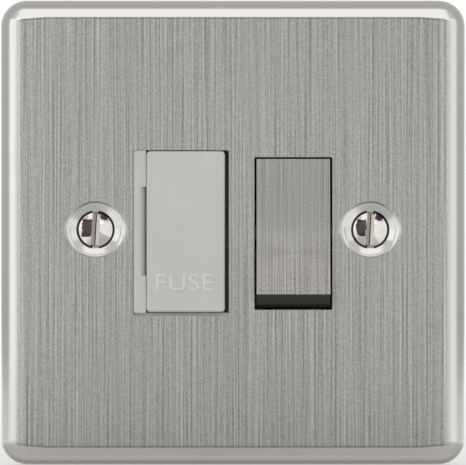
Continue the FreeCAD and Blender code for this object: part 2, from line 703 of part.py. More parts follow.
door = padded_body("carrier_door", rectangle((CARRIER_LEFT, CARRIER_RIGHT), (CARRIER_LOW, CARRIER_HIGH)),
                   (CARRIER_FRONT, CARRIER_BACK))
rounded(door, "carrier_corners", "carrier_corner", runs_deep)
rounded(door, "carrier_edges", "carrier_edge", lies_at(number(CARRIER_FRONT)))
FUSE_LOW = "(carrier_rise - fuse_length / 2)"
FUSE_HIGH = "(carrier_rise + fuse_length / 2)"
carrier_adds = [door]
for end, near, far, limit, sign in (
    ("top", "%s + fuse_gap" % FUSE_HIGH, "%s + fuse_gap + cheek_gauge" % FUSE_HIGH, CARRIER_HIGH, "+"),
    ("bottom", "%s - fuse_gap - cheek_gauge" % FUSE_LOW, "%s - fuse_gap" % FUSE_LOW, CARRIER_LOW, "-"),
):
    disc = rod("cheek_disc_" + end, "z", "carrier_reach", HINGE_X, HINGE_Y, (near, far))
    quarter = block("cheek_quarter_" + end,
                    ("%s - carrier_reach" % HINGE_X, "%s - hinge_barrel / 2" % HINGE_X),
                    ("%s - 0.2" % CARRIER_BACK, "%s + carrier_reach" % HINGE_Y), (near, far))
    carrier_adds.append(common("cheek_" + end, disc, quarter))
    inner = near if sign == "+" else far
    low, high = (inner, limit) if sign == "+" else (limit, inner)
    carrier_adds.append(rod("barrel_" + end, "z", "hinge_barrel", HINGE_X, HINGE_Y, (low, high)))
    pin = (limit, "%s + end_gap + hinge_bite" % limit)
    if sign == "-":
        pin = ("%s - end_gap - hinge_bite" % limit, limit)
    carrier_adds.append(rod("hinge_pin_" + end, "z", "hinge_pin", HINGE_X, HINGE_Y, pin))
clip_span = ("carrier_rise - clip_length / 2", "carrier_rise + clip_length / 2")
carrier_adds.append(rod("clip_ring", "z", "fuse_body_radius + fit_gap / 2 + clip_gauge", FUSE_X, FUSE_Y,
                        clip_span))
carrier_adds.append(block("clip_web", ("%s - 2.6" % FUSE_X, "%s + 2.6" % FUSE_X),
                          ("%s - 0.2" % CARRIER_BACK, FUSE_Y), clip_span))
clip_hole = rod("clip_hole", "z", "fuse_body_radius + fit_gap / 2", FUSE_X, FUSE_Y,
                ("carrier_rise - clip_length", "carrier_rise + clip_length"))
mouth = doc.addObject("Part::Box", "clip_mouth")
mouth.Placement = Placement(Vector(), Rotation(Vector(0, 0, 1), 140))
bind(mouth, Length="fuse_cap_radius * 4", Width="clip_mouth", Height="clip_length * 2")
bind(mouth, **{"Placement.Rotation.Angle": "180 - atan(fuse_behind / fuse_aside) / 1 deg"})
put(mouth, ("%s + clip_mouth / 2 * %s" % (FUSE_X, AWAY_X), "%s + clip_mouth / 2 * %s" % (FUSE_Y, AWAY_Y),
            "carrier_rise - clip_length"))
keep(cut("fuse_carrier", join("carrier_blank", *carrier_adds), clip_hole, mouth))

# Cartridge fuse

keep(rod("fuse_body", "z", "fuse_body_radius", FUSE_X, FUSE_Y,
         ("%s + fuse_cap_gauge" % FUSE_LOW, "%s - fuse_cap_gauge" % FUSE_HIGH)))
for end, span, hollow in (
    ("top", ("%s - fuse_cap_length" % FUSE_HIGH, FUSE_HIGH),
     ("%s - fuse_cap_length - 1" % FUSE_HIGH, "%s - fuse_cap_gauge" % FUSE_HIGH)),
    ("bottom", (FUSE_LOW, "%s + fuse_cap_length" % FUSE_LOW),
     ("%s + fuse_cap_gauge" % FUSE_LOW, "%s + fuse_cap_length + 1" % FUSE_LOW)),
):
    keep(cut("fuse_cap_" + end, rod("cap_cup_" + end, "z", "fuse_cap_radius", FUSE_X, FUSE_Y, span),
             rod("cap_bore_" + end, "z", "fuse_body_radius", FUSE_X, FUSE_Y, hollow)))

# Fuse contacts, each a folded leaf with a leg through the pocket floor and a foot behind it

FOOT_LEFT = "(%s + contact_gauge - contact_foot)" % LEG_X
LINK_LOW = "(rocker_rise - link_breadth / 2)"
LINK_HIGH = "(rocker_rise + link_breadth / 2)"
for end, z in CONTACTS:
    front_end = leaf_point("contact_half", "0")
    back_end = leaf_point("contact_half", "contact_gauge")
    knee = leaf_point("-(%s - %s + 0.1) / %s" % (LEG_X, TOUCH_X, AWAY_Y), "0")
    slope = "%s / %s" % (AWAY_X, AWAY_Y)
    inner_y = "%s + contact_gauge / %s - (%s - %s) * %s" % (TOUCH_Y, AWAY_Y, LEG_X, TOUCH_X, slope)
    points = [front_end,
              ("%s - 0.1" % LEG_X, "%s - (%s - %s - 0.1) * %s" % (TOUCH_Y, LEG_X, TOUCH_X, slope)),
              ("%s + contact_gauge" % LEG_X, "%s - (%s - %s - 0.35) * %s" % (TOUCH_Y, LEG_X, TOUCH_X, slope)),
              ("%s + contact_gauge" % LEG_X, STRIP_BACK),
              (LEG_X, STRIP_BACK),
              (LEG_X, inner_y),
              back_end]
    leaf = strip("leaf_" + end, "xy", points, ("%s - contact_width / 2" % z, "%s + contact_width / 2" % z))
    if end == "top":
        foot = (LINK_LOW, "%s + contact_width / 2" % z)
    else:
        foot = ("-%s - strip_toe" % ROW_Z, "%s + contact_width / 2" % z)
    keep(join("fuse_contact_" + end, leaf,
              block("foot_" + end, (FOOT_LEFT, "%s + contact_gauge" % LEG_X),
                    (STRIP_FRONT, STRIP_BACK), foot)))

# Link from the upper fuse contact to the live pole

LINK_BACK = "(%s + strip_gauge)" % STRIP_BACK
LINK_END = "(live_pole + strip_breadth / 2)"
keep(strip("live_link", "xy", [
    (FOOT_LEFT, STRIP_BACK),
    ("link_joggle", STRIP_BACK),
    ("link_joggle + 2.2", REST_FRONT),
    (LINK_END, REST_FRONT),
    (LINK_END, REST_BACK),
    ("link_joggle + 1.8", REST_BACK),
    ("link_joggle - 0.4", LINK_BACK),
    (FOOT_LEFT, LINK_BACK),
], (LINK_LOW, LINK_HIGH)))

# Rocker, drawn level about its pivot and then tipped to its rest position

HOLLOW_FRONT = "(-rocker_front)"
cap_curve = "((%s ^ 2 + cap_sag ^ 2) / (2 * cap_sag))" % CAP_HALF
cap_axis = "(-cap_level + cap_sag - %s)" % cap_curve
half_rocker = "rocker_width / 2"


def about_rocker(x):
    """Place of a pole measured from the middle of the rocker."""
    return "(%s - rocker_centre)" % x


def tipped(piece, angle, y, x="rocker_centre"):
    """Sets a piece drawn about its own axis at that axis, turned about X."""
    piece.Placement = Placement(Vector(), Rotation(Vector(1, 0, 0), 5))
    bind(piece, **{"Placement.Rotation.Angle": angle})
    put(piece, (x, y, "rocker_rise"))
    return piece


drum = common("rocker_drum",
              rod("rocker_roll", "x", "rocker_reach", "0", "0", ("-" + half_rocker, half_rocker)),
              block("rocker_cheek_limit", ("-" + half_rocker, half_rocker), ("-cap_level", "-rocker_skirt"),
                    ("-rocker_reach", "rocker_reach")))
hub = block("rocker_hub", ("-" + half_rocker, half_rocker), ("-rocker_skirt - 1", "0"), ("-3.4", "3.4"))
hub_round = rod("rocker_hub_round", "x", "3.4", "0", "0", ("-" + half_rocker, half_rocker))
rocker_hollow = block("rocker_hollow", ("-%s + rocker_wall" % half_rocker, "%s - rocker_wall" % half_rocker),
                      (HOLLOW_FRONT, "6"), ("-%s + 0.6" % CAP_HALF, "%s - 0.6" % CAP_HALF))
dip = rod("rocker_dip", "x", "%s + cap_gauge" % cap_curve, cap_axis, "0", ("-rocker_width", "rocker_width"))
rocker_adds = [cut("rocker_shell", join("rocker_blank", drum, hub, hub_round), rocker_hollow, dip)]
rocker_adds.append(rod("rocker_collars", "x", "collar_radius", "0", "0",
                       ("-%s - rocker_gap + collar_gap" % half_rocker, "-%s + rocker_wall" % half_rocker)))
rocker_adds.append(rod("rocker_collars_right", "x", "collar_radius", "0", "0",
                       ("%s - rocker_wall" % half_rocker, "%s + rocker_gap - collar_gap" % half_rocker)))
rocker_adds.append(rod("rocker_pin_left", "x", "pivot_pin", "0", "0",
                       ("-%s - rocker_gap - pivot_bite" % half_rocker, "-%s + rocker_wall" % half_rocker)))
rocker_adds.append(rod("rocker_pin_right", "x", "pivot_pin", "0", "0",
                       ("%s - rocker_wall" % half_rocker, "%s + rocker_gap + pivot_bite" % half_rocker)))
rocker_cuts = []
for pole, x in POLES:
    rocker_adds.append(rod("stem_" + pole, "y", "stem_radius", about_rocker(x), "0",
                           (HOLLOW_FRONT + " - 0.3", "stem_length")))
    rocker_cuts.append(rod("stem_bore_" + pole, "y", "stem_bore", about_rocker(x), "0",
                           ("-stem_blind", "stem_length + 1")))
keep(tipped(cut("rocker", join("rocker_solid", *rocker_adds), *rocker_cuts), "-rocker_tilt", PIVOT_Y))

cap_blank = block("cap_blank", ("-" + half_rocker, half_rocker),
                  ("-cap_level", "-cap_level + cap_sag + cap_gauge + 1"),
                  ("-" + CAP_HALF, CAP_HALF))
cap_outer = rod("cap_outer", "x", "%s + cap_gauge" % cap_curve, cap_axis, "0",
                ("-rocker_width", "rocker_width"))
cap_inner = rod("cap_inner", "x", cap_curve, cap_axis, "0", ("-rocker_width", "rocker_width"))
keep(tipped(cut("rocker_cap", common("cap_lens", cap_blank, cap_outer), cap_inner), "-rocker_tilt", PIVOT_Y))

for pole, x in POLES:
    nose = ball("plunger_nose_" + pole, "plunger_radius", ("0", "plunger_reach - plunger_radius", "0"))
    shaft = rod("plunger_shaft_" + pole, "y", "plunger_radius", "0", "0",
                ("plunger_tail", "plunger_reach - plunger_radius"))
    keep(tipped(join("plunger_" + pole, nose, shaft), "-rocker_tilt", PIVOT_Y, x))
    coil = doc.addObject("Part::Helix", "coil_" + pole)
    bind(coil, Pitch="spring_pitch", Radius="spring_radius",
         Height="stem_blind + plunger_tail - spring_wire * 2 - 0.06")
    ring = doc.addObject("Part::RegularPolygon", "coil_ring_" + pole)
    ring.Polygon = 4
    ring.Placement = Placement(Vector(), Rotation(Vector(1, 0, 0), 90))
    bind(ring, Circumradius="spring_wire")
    put(ring, ("spring_radius", "0", "0"))
    doc.recompute()
    wire = doc.addObject("Part::Sweep", "coil_wire_" + pole)
    wire.Sections = [ring]
    wire.Spine = (coil, ["Edge%d" % (i + 1) for i in range(len(coil.Shape.Edges))])
    wire.Solid = True
    wire.Frenet = True
    laid = doc.addObject("Part::Compound", "coil_laid_" + pole)
    laid.Links = [wire]
    laid.Placement = Placement(Vector(), TURNS["y"])
    put(laid, ("0", "-stem_blind + spring_wire + 0.03", "0"))
    spring = doc.addObject("Part::Compound", "plunger_spring_" + pole)
    spring.Links = [laid]
    keep(tipped(spring, "-rocker_tilt", PIVOT_Y, x))

# Contact arms: flat seesaws on a barrel, tipped the other way by the plungers

for pole, x in POLES:
    half_arm = "arm_width / 2"
    bar = block("arm_bar_" + pole, ("-" + half_arm, half_arm), ("-arm_gauge", "0"), ("-arm_half", "arm_half"))
    barrel = rod("arm_barrel_" + pole, "x", "arm_barrel", "0", "0", ("-" + half_arm, half_arm))
    barrel_limit = block("arm_barrel_limit_" + pole, ("-" + half_arm, half_arm), ("-arm_gauge", "arm_barrel"),
                         ("-arm_barrel", "arm_barrel"))
    arm = join("arm_solid_" + pole, bar, common("arm_root_" + pole, barrel, barrel_limit))
    eye = rod("arm_eye_" + pole, "y", "rivet_shank", "0", "rivet_place", ("-arm_gauge - 1", "1"))
    keep(tipped(cut("contact_arm_" + pole, arm, eye), "rocker_tilt", FULCRUM_Y, x))
    rivet = join("arm_rivet_" + pole,
                 rod("rivet_head_" + pole, "y", "rivet_radius", "0", "rivet_place", ("0", "rivet_height")),
                 rod("rivet_shank_" + pole, "y", "rivet_shank", "0", "rivet_place", ("-arm_gauge", "0.1")))
    keep(tipped(rivet, "rocker_tilt", FULCRUM_Y, x))
    post = block("fulcrum_post_" + pole, ("%s - %s" % (x, half_arm), "%s + %s" % (x, half_arm)),
                 ("%s + fulcrum_drop" % FULCRUM_Y, REST_FRONT),
                 ("rocker_rise - fulcrum_half", "rocker_rise + fulcrum_half"))
    cradle = rod("fulcrum_cradle_" + pole, "x", "arm_barrel + pin_clearance", FULCRUM_Y, "rocker_rise",
                 ("%s - arm_width" % x, "%s + arm_width" % x))
    keep(cut("fulcrum_" + pole, post, cradle))
    keep(rod("fixed_rivet_" + pole, "y", "rivet_radius", x, "rocker_rise + fixed_rivet_place",
             ("%s - rivet_height" % REST_FRONT, REST_FRONT)))

# Joggled strips between the poles and their terminals


def joggled(label, x, start, sign):
    side = "" if sign > 0 else "-"
    def at(text):
        return "%s(%s)" % (side, text)
    return strip(label, "yz", [
        (REST_FRONT, start),
        (REST_FRONT, at(JOGGLE)),
        (STRIP_FRONT, at("%s + 2" % JOGGLE)),
        (STRIP_FRONT, at("%s + strip_toe" % ROW_Z)),
        (STRIP_BACK, at("%s + strip_toe" % ROW_Z)),
        (STRIP_BACK, at("%s + 2.5" % JOGGLE)),
        (REST_BACK, at("%s + 0.5" % JOGGLE)),
        (REST_BACK, start),
    ], ("%s - strip_breadth / 2" % x, "%s + strip_breadth / 2" % x))


for pole, x in POLES:
    keep(joggled("supply_strip_" + pole, x, "rocker_rise + fixed_rivet_place - 2.4", 1))
keep(joggled("load_strip_neutral", "neutral_pole", "rocker_rise + fulcrum_half + 0.4", -1))

# Terminals with a wire bore up and down and a clamping screw from the rear

TERMINALS = (
    ("supply_terminal_live", "live_pole", "terminal_width", ("0",), "", 1),
    ("supply_terminal_neutral", "neutral_pole", "terminal_width", ("0",), "", 1),
    ("earth_terminal", "earth_centre", "earth_width", ("-earth_pitch / 2", "earth_pitch / 2"), "", 1),
    ("load_terminal_neutral", "neutral_pole", "terminal_width", ("0",), "-", -1),
    ("load_terminal_live", "load_live_centre", "terminal_width", ("0",), "-", -1),
)
base_cuts = []
screw_count = 0
for name, x, width, offsets, side, way in TERMINALS:
    z = side + ROW_Z
    body = block(name + "_block", ("%s - %s / 2" % (x, width), "%s + %s / 2" % (x, width)),
                 (STRIP_BACK, BLOCK_BACK),
                 ("%s - terminal_length / 2" % z, "%s + terminal_length / 2" % z))
    bores = []
    for index, offset in enumerate(offsets):
        spot = "%s + (%s)" % (x, offset)
        tag = name + ("_%d" % (index + 1) if len(offsets) > 1 else "")
        bores.append(rod(tag + "_bore", "z", "terminal_bore", spot, BORE_Y,
                         ("%s - terminal_length" % z, "%s + terminal_length" % z)))
        bores.append(rod(tag + "_tap", "y", "clamp_radius + thread_gap", spot, z,
                         (BORE_Y, "%s + 1" % BLOCK_BACK)))
        shank = rod(tag + "_shank", "y", "clamp_radius", spot, z,
                    ("%s + terminal_bore + fit_gap" % BORE_Y, "%s + clamp_rise" % BLOCK_BACK))
        head = rod(tag + "_head", "y", "clamp_head", spot, z,
                   ("%s + clamp_rise" % BLOCK_BACK, "%s + clamp_rise + clamp_head_length" % BLOCK_BACK))
        groove = block(tag + "_groove", ("%s - clamp_slot / 2" % spot, "%s + clamp_slot / 2" % spot),
                       ("%s + clamp_rise + clamp_head_length / 2" % BLOCK_BACK, "%s + 5" % BLOCK_BACK),
                       ("%s - clamp_head - 1" % z, "%s + clamp_head + 1" % z))
        keep(cut("screw_" + tag, join(tag + "_screw_blank", shank, head), groove))
        base_cuts.append(rod(tag + "_tunnel", "y", "clamp_head + tunnel_gap", spot, z,
                             (STRIP_BACK, "%s + 1" % ROW_BACK)))
        outer = ("%s - moulding_end * 2" % HALF_HIGH, "%s + 1" % HALF_HIGH)
        if way < 0:
            outer = ("-(%s)" % outer[1], "-(%s)" % outer[0])
        base_cuts.append(rod(tag + "_entry", "z", "wire_entry", spot, BORE_Y, outer))
        flare = ("wire_entry", "wire_entry + funnel_flare")
        mouth_at = ("%s - funnel_flare" % HALF_HIGH, HALF_HIGH)
        if way < 0:
            flare = flare[::-1]
            mouth_at = ("-" + HALF_HIGH, "-%s + funnel_flare" % HALF_HIGH)
        base_cuts.append(taper(tag + "_funnel", "z", flare, spot, BORE_Y, mouth_at))
    keep(cut(name, body, *bores))
    base_cuts.append(block(name + "_bay",
                           ("%s - %s / 2 - terminal_gap" % (x, width),
                            "%s + %s / 2 + terminal_gap" % (x, width)),
                           ("split_depth - 1", "%s + terminal_gap / 2" % BLOCK_BACK),
                           ("%s - terminal_length / 2 - terminal_gap" % z,
                            "%s + terminal_length / 2 + terminal_gap" % z)))

# Base moulding: holds the terminals and the switch parts, with two raised terminal rows

rear = padded_body("rear_box", WAISTED, ("split_depth", BASE_BACK))
rounded(rear, "rear_box_corners", "moulding_corner", corner_edges)
base_adds = [rear]
for side, low, high in (("top", "row_edge", half_high), ("bottom", "-" + half_high, "-row_edge")):
    terminal_row = padded_body("terminal_row_" + side,
                               rectangle(("-row_width / 2", "row_width / 2"), (low, high)),
                               ("%s - 1" % BASE_BACK, ROW_BACK))
    rounded(terminal_row, "row_corners_" + side, "moulding_corner", runs_deep)
    rounded(terminal_row, "row_edges_" + side, "row_round", lies_at(number(ROW_BACK)))
    base_adds.append(terminal_row)
base_cuts.append(block("pocket_recess",
                       ("%s - pocket_wall - fit_gap" % POCKET_LEFT,
                        "%s + pocket_wall + fit_gap" % POCKET_RIGHT),
                       ("split_depth - 1", STRIP_FRONT),
                       ("%s - pocket_wall - fit_gap" % POCKET_LOW,
                        "%s + pocket_wall + fit_gap" % POCKET_HIGH)))
base_cuts.append(block("switch_space", (WELL_LEFT, WELL_RIGHT), ("split_depth - 1", REST_BACK),
                       (WELL_LOW, WELL_HIGH)))
base_cuts.append(block("foot_channel", ("%s - fit_gap" % FOOT_LEFT, "%s + contact_gauge + fit_gap" % LEG_X),
                       ("%s - 1" % STRIP_FRONT, STRIP_BACK),
                       ("%s - fit_gap" % LINK_LOW, "%s + contact_width / 2 + fit_gap" % CONTACTS[0][1])))
base_cuts.append(block("link_channel", ("%s - fit_gap" % FOOT_LEFT, "%s + 1" % WELL_LEFT),
                       ("split_depth - 1", LINK_BACK),
                       ("%s - fit_gap" % LINK_LOW, "%s + fit_gap" % LINK_HIGH)))
base_cuts.append(block("link_step", ("link_joggle - 0.6", "%s + 1" % WELL_LEFT),
                       ("split_depth - 1", REST_BACK),
                       ("%s - fit_gap" % LINK_LOW, "%s + fit_gap" % LINK_HIGH)))
base_cuts.append(block("load_channel", ("%s - fit_gap" % FOOT_LEFT, "%s + contact_gauge + fit_gap" % LEG_X),
                       ("split_depth - 1", STRIP_BACK),
                       ("-" + ROW_Z, "%s + contact_width / 2 + fit_gap" % CONTACTS[1][1])))
for pole, x in POLES:
    base_cuts.append(block("supply_way_" + pole,
                           ("%s - strip_breadth / 2 - fit_gap" % x, "%s + strip_breadth / 2 + fit_gap" % x),
                           ("split_depth - 1", STRIP_BACK), ("%s - 1" % WELL_HIGH, ROW_Z)))
base_cuts.append(block("load_way_neutral",
                       ("neutral_pole - strip_breadth / 2 - fit_gap",
                        "neutral_pole + strip_breadth / 2 + fit_gap"),
                       ("split_depth - 1", STRIP_BACK), ("-" + ROW_Z, "%s + 1" % WELL_LOW)))
CORE_PITCH = "((waist_width - core_wall) / core_ribs)"
for index in range(int(number("core_ribs"))):
    left = "-waist_width / 2 + core_wall + %s * %d" % (CORE_PITCH, index)
    base_cuts.append(block("rear_core_%d" % (index + 1), (left, "%s + %s - core_wall" % (left, CORE_PITCH)),
                           ("%s - core_sink" % BASE_BACK, "%s + 1" % BASE_BACK),
                           ("-row_edge + core_wall", "row_edge - core_wall")))
HEAD_REST = "(%s - small_head_length - 0.5)" % BASE_BACK
for corner, sx, sz in CORNERS:
    x = sx + "base_fix_spread / 2"
    z = sz + "base_fix_rise"
    base_cuts.append(rod("base_fix_hole_" + corner, "y", "small_hole", x, z, ("split_depth - 1", BASE_BACK)))
    base_cuts.append(rod("base_fix_sink_" + corner, "y", "small_counterbore", x, z,
                         (HEAD_REST, "%s + 1" % BASE_BACK)))
base_hollow = cut("base_hollow", join("base_blank", *base_adds), *base_cuts)
pole_wall = block("pole_wall", ("rocker_centre - pole_rib / 2", "rocker_centre + pole_rib / 2"),
                  ("%s - arm_gauge - 1.3" % FULCRUM_Y, "%s + 0.5" % REST_BACK),
                  ("%s - 0.5" % WELL_LOW, "%s + 0.5" % WELL_HIGH))
keep(join("base_moulding", base_hollow, pole_wall))


# Small screws: plate to front moulding, and base to front moulding

def small_screw(label, x, z, seat, tip):
    """Cheese headed screw with a slot, its head behind its seat."""
    shank = rod(label + "_shank", "y", "small_thread", x, z, (tip, seat))
    head = rod(label + "_head", "y", "small_head", x, z, (seat, "%s + small_head_length" % seat))
    groove = block(label + "_groove", ("%s - clamp_slot / 2" % x, "%s + clamp_slot / 2" % x),
                   ("%s + small_head_length / 2" % seat, "%s + small_head_length + 1" % seat),
                   ("%s - small_head - 1" % z, "%s + small_head + 1" % z))
    return cut(label, join(label + "_blank", shank, head), groove)


for corner, sx, sz in CORNERS:
    seat = SEAT_SMALL if corner != "top_left" else "(%s + strip_gauge)" % SEAT_SMALL
    keep(small_screw("plate_screw_" + corner, sx + "plate_fix_spread / 2", sz + PLATE_FIX_Z,
                     seat, "%s + 0.6" % INNER))
    keep(small_screw("base_screw_" + corner, sx + "base_fix_spread / 2", sz + "base_fix_rise",
                     HEAD_REST, "split_depth - base_fix_bite"))

# Earth strap from a plate screw to the earth terminal

strap = strip("strap_fold", "xy", [
    (STRAP_LEFT, SEAT_SMALL),
    (STRAP_TURN, SEAT_SMALL),
    (STRAP_TURN, STRIP_FRONT),
    ("earth_centre + earth_width / 2 - 1", STRIP_FRONT),
    ("earth_centre + earth_width / 2 - 1", STRIP_BACK),
    ("%s - strip_gauge" % STRAP_TURN, STRIP_BACK),
    ("%s - strip_gauge" % STRAP_TURN, "%s + strip_gauge" % SEAT_SMALL),
    (STRAP_LEFT, "%s + strip_gauge" % SEAT_SMALL),
], ("%s - strap_width / 2" % PLATE_FIX_Z, "%s + strap_width / 2" % PLATE_FIX_Z))
keep(cut("earth_strap", strap, rod("strap_hole", "y", "small_thread + thread_gap", "-plate_fix_spread / 2",
                                   PLATE_FIX_Z, ("%s - 1" % SEAT_SMALL, "%s + 2" % SEAT_SMALL))))

# Every object is checked before anything is written

doc.recompute()
bad = [item.Label for item in doc.Objects if "Invalid" in item.State or "Error" in item.State]
if bad:
    raise SystemExit("failed objects: " + ", ".join(bad))
os.makedirs("parts", exist_ok=True)
for piece in PIECES:
    shape = piece.Shape
    if shape.isNull() or not shape.isValid() or len(shape.Solids) != 1:
        raise SystemExit("bad shape: %s with %d solids" % (piece.Label, len(shape.Solids)))
for piece in PIECES:
    piece.Shape.exportStep("parts/%s.step" % piece.Label)
print("%d pieces written" % len(PIECES))
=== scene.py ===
# Looks of a fused spur unit: brushed steel plate, grey fuse carrier and a steel-capped black rocker.
# Metres, in the frame of the CAD part: +X right, +Z up, +Y into the wall, origin at the plate's centre.
import math

import bmesh
import bpy
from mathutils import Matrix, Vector


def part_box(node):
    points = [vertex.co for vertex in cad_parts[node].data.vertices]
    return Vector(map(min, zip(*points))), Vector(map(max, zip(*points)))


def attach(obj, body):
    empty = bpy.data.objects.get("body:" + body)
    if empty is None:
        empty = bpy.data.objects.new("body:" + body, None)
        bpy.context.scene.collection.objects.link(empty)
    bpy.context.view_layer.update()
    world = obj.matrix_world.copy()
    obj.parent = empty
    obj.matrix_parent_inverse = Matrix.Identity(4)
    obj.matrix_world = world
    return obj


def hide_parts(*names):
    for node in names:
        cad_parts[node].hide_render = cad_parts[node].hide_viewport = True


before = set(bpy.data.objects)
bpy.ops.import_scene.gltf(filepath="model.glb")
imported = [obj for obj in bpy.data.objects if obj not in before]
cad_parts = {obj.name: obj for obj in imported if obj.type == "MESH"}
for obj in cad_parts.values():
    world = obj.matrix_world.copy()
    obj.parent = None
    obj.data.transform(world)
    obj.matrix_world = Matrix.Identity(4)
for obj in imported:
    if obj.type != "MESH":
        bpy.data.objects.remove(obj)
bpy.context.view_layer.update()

MM = 0.001


# Camera: the photograph's frame in pixels, and the plate's middle in it

FRAME_WIDTH = 466
FRAME_HEIGHT = 465
PIXELS_PER_MM = 4.544
MIDDLE_X = 232.9
MIDDLE_Y = 232.35
OUTLINE_Y = -4.7 * MM
CAMERA_AWAY = 1.2
CAMERA_CLIP = 10 * MM


def make_camera():
    """Straight on, far enough away that the plate's sides stay out of sight."""
    data = bpy.data.cameras.new("camera")
    camera = bpy.data.objects.new("camera", data)
    bpy.context.scene.collection.objects.link(camera)
    camera.location = ((FRAME_WIDTH / 2 - MIDDLE_X) / PIXELS_PER_MM * MM, OUTLINE_Y - CAMERA_AWAY,
                       (MIDDLE_Y - FRAME_HEIGHT / 2) / PIXELS_PER_MM * MM)
    camera.rotation_euler = (math.radians(90), 0, 0)
    half_width = FRAME_WIDTH / PIXELS_PER_MM * MM / 2
    data.angle = 2 * math.atan(half_width / CAMERA_AWAY)
    data.clip_start = CAMERA_CLIP
    bpy.context.scene.camera = camera


# Node helpers: each adds to a node tree and returns a socket, unless it says otherwise

NOISE_ROUGHNESS = 0.55
CLOUD_RANGE = (0.3, 0.7)
# Places of the colour sockets in Blender's mix node
MIX_FIRST = 6
MIX_SECOND = 7
MIX_RESULT = 2


def node(tree, kind, **settings):
    """New shader node with its properties set; returns the node."""
    made = tree.nodes.new(kind)
    for key, value in settings.items():
        setattr(made, key, value)
    return made


def feed(tree, target, value):
    """Sets a socket to a value, or links it to another socket."""
    if isinstance(value, bpy.types.NodeSocket):
        tree.links.new(value, target)
    else:
        target.default_value = value


def maths(tree, operation, first, second=0.0):
    made = node(tree, "ShaderNodeMath", operation=operation)
    feed(tree, made.inputs[0], first)
    feed(tree, made.inputs[1], second)
    return made.outputs[0]


def plus(tree, first, second):
    return maths(tree, "ADD", first, second)


def minus(tree, first, second):
    return maths(tree, "SUBTRACT", first, second)


def times(tree, first, second):
    return maths(tree, "MULTIPLY", first, second)


def larger(tree, first, second):
    return maths(tree, "MAXIMUM", first, second)


def absolute(tree, value):
    return maths(tree, "ABSOLUTE", value)


def spread(tree, value, low, high, out_low, out_high, interpolation_type="LINEAR"):
    """Maps a value from one range to another, held at the ends."""
    made = node(tree, "ShaderNodeMapRange", interpolation_type=interpolation_type)
    for socket, item in zip(made.inputs, (value, low, high, out_low, out_high)):
        feed(tree, socket, item)
    return made.outputs[0]


def window(tree, value, low, high, soft):
    """1 between two values, 0 outside, with soft ends."""
    return times(tree, spread(tree, value, low - soft, low + soft, 0.0, 1.0),
                 spread(tree, value, high - soft, high + soft, 1.0, 0.0))


def blend_colour(tree, factor, first, second):
    made = node(tree, "ShaderNodeMix", data_type="RGBA")
    feed(tree, made.inputs["Factor"], factor)
    feed(tree, made.inputs[MIX_FIRST], first)
    feed(tree, made.inputs[MIX_SECOND], second)
    return made.outputs[MIX_RESULT]


def coordinates(tree):
    """Outputs of the texture coordinates, by name."""
    return node(tree, "ShaderNodeTexCoord").outputs


def apart(tree, vector):
    """The three parts of a vector, by name."""
    made = node(tree, "ShaderNodeSeparateXYZ")
    tree.links.new(vector, made.inputs[0])
    return made.outputs


def grain(tree, point, scale, detail=3.0, aside=0.0):
    """Noise stretched by a scale for each axis (cells a metre), moved aside by a distance."""
    mapping = node(tree, "ShaderNodeMapping")
    mapping.inputs["Scale"].default_value = scale
    mapping.inputs["Location"].default_value = (aside * scale[0], 0.0, 0.0)
    tree.links.new(point, mapping.inputs["Vector"])
    noise = node(tree, "ShaderNodeTexNoise")
    noise.inputs["Scale"].default_value = 1.0
    noise.inputs["Detail"].default_value = detail
    noise.inputs["Roughness"].default_value = NOISE_ROUGHNESS
    tree.links.new(mapping.outputs[0], noise.inputs["Vector"])
    return noise.outputs["Fac"]


def even_grain(tree, point, cells, detail=3.0):
    """Noise with as many cells a metre along every axis."""
    return grain(tree, point, (cells, cells, cells), detail)


def uneven(tree, cloud, middle, swing):
    """A value that a noise moves up and down about its middle."""
    return spread(tree, cloud, *CLOUD_RANGE, middle - swing, middle + swing)


def bumped(tree, shader, height, depth, strength=1.0, under=None):
    """Bump of a depth in metres; under is the normal of a bump that it lies on."""
    bump = node(tree, "ShaderNodeBump")
    feed(tree, bump.inputs["Strength"], strength)
    bump.inputs["Distance"].default_value = depth
    tree.links.new(height, bump.inputs["Height"])
    if under is not None:
        tree.links.new(under, bump.inputs["Normal"])
    if shader is not None:
        tree.links.new(bump.outputs[0], shader.inputs["Normal"])
    return bump.outputs[0]


def new_material(name, base, roughness, metallic=0.0, specular=0.5):
    """Material with plain values; returns it with its tree and shader."""
    made = bpy.data.materials.new(name)
    made.use_nodes = True
    shader = made.node_tree.nodes["Principled BSDF"]
    shader.inputs["Base Color"].default_value = base
    shader.inputs["Roughness"].default_value = roughness
    shader.inputs["Metallic"].default_value = metallic
    shader.inputs["Specular IOR Level"].default_value = specular
    return made, made.node_tree, shader


# Colours

def shade(level):
    """Linear value of an sRGB level from 0 to 255."""
    part = level / 255
    return part / 12.92 if part <= 0.04045 else ((part + 0.055) / 1.055) ** 2.4


def colour(red, green, blue):
    return (shade(red), shade(green), shade(blue), 1.0)


def darker(tone, share):
    """A share of a colour's brightness."""
    return tuple(part * share for part in tone[:3]) + (1.0,)


# Brushed steel: upright hairlines in several sizes, wide scatter across them and little along them

# Each size of hairline: its cells a metre across and along the lines, its share,
# and the share of the opposite line that lies beside it.
STREAKS = ((4600, 30, 0.24, 0.12),
           (2500, 14, 0.20, 0.10),
           (1500, 8, 0.06, 0.0),
           (6500, 2400, 0.28, 0.0))
STREAK_BESIDE = 0.42 * MM
STREAK_RANGE = (0.405, 0.595)
STREAK_DEPTH = 0.010 * MM
STREAK_STRENGTH = 0.6
BRUSH_STRETCH = 0.75
# Between these heights the cap's colours turn to darker painted shade towards its low end
CAP_SHADE_FADE = (-10 * MM, 7 * MM)

# Which way the plate faces, as the Y of its normal: each mask changes between its two values
FLAT_FACING = (-0.998, -0.96)
ROLL_FACING = (-0.98, -0.85)
TURNED_FACING = (-0.92, -0.80)
CREASE_FACING = (-0.9, -0.7)
FRONT_FACING = (-0.1, 0.1)
BACK_FACING = (0.4, 0.8)

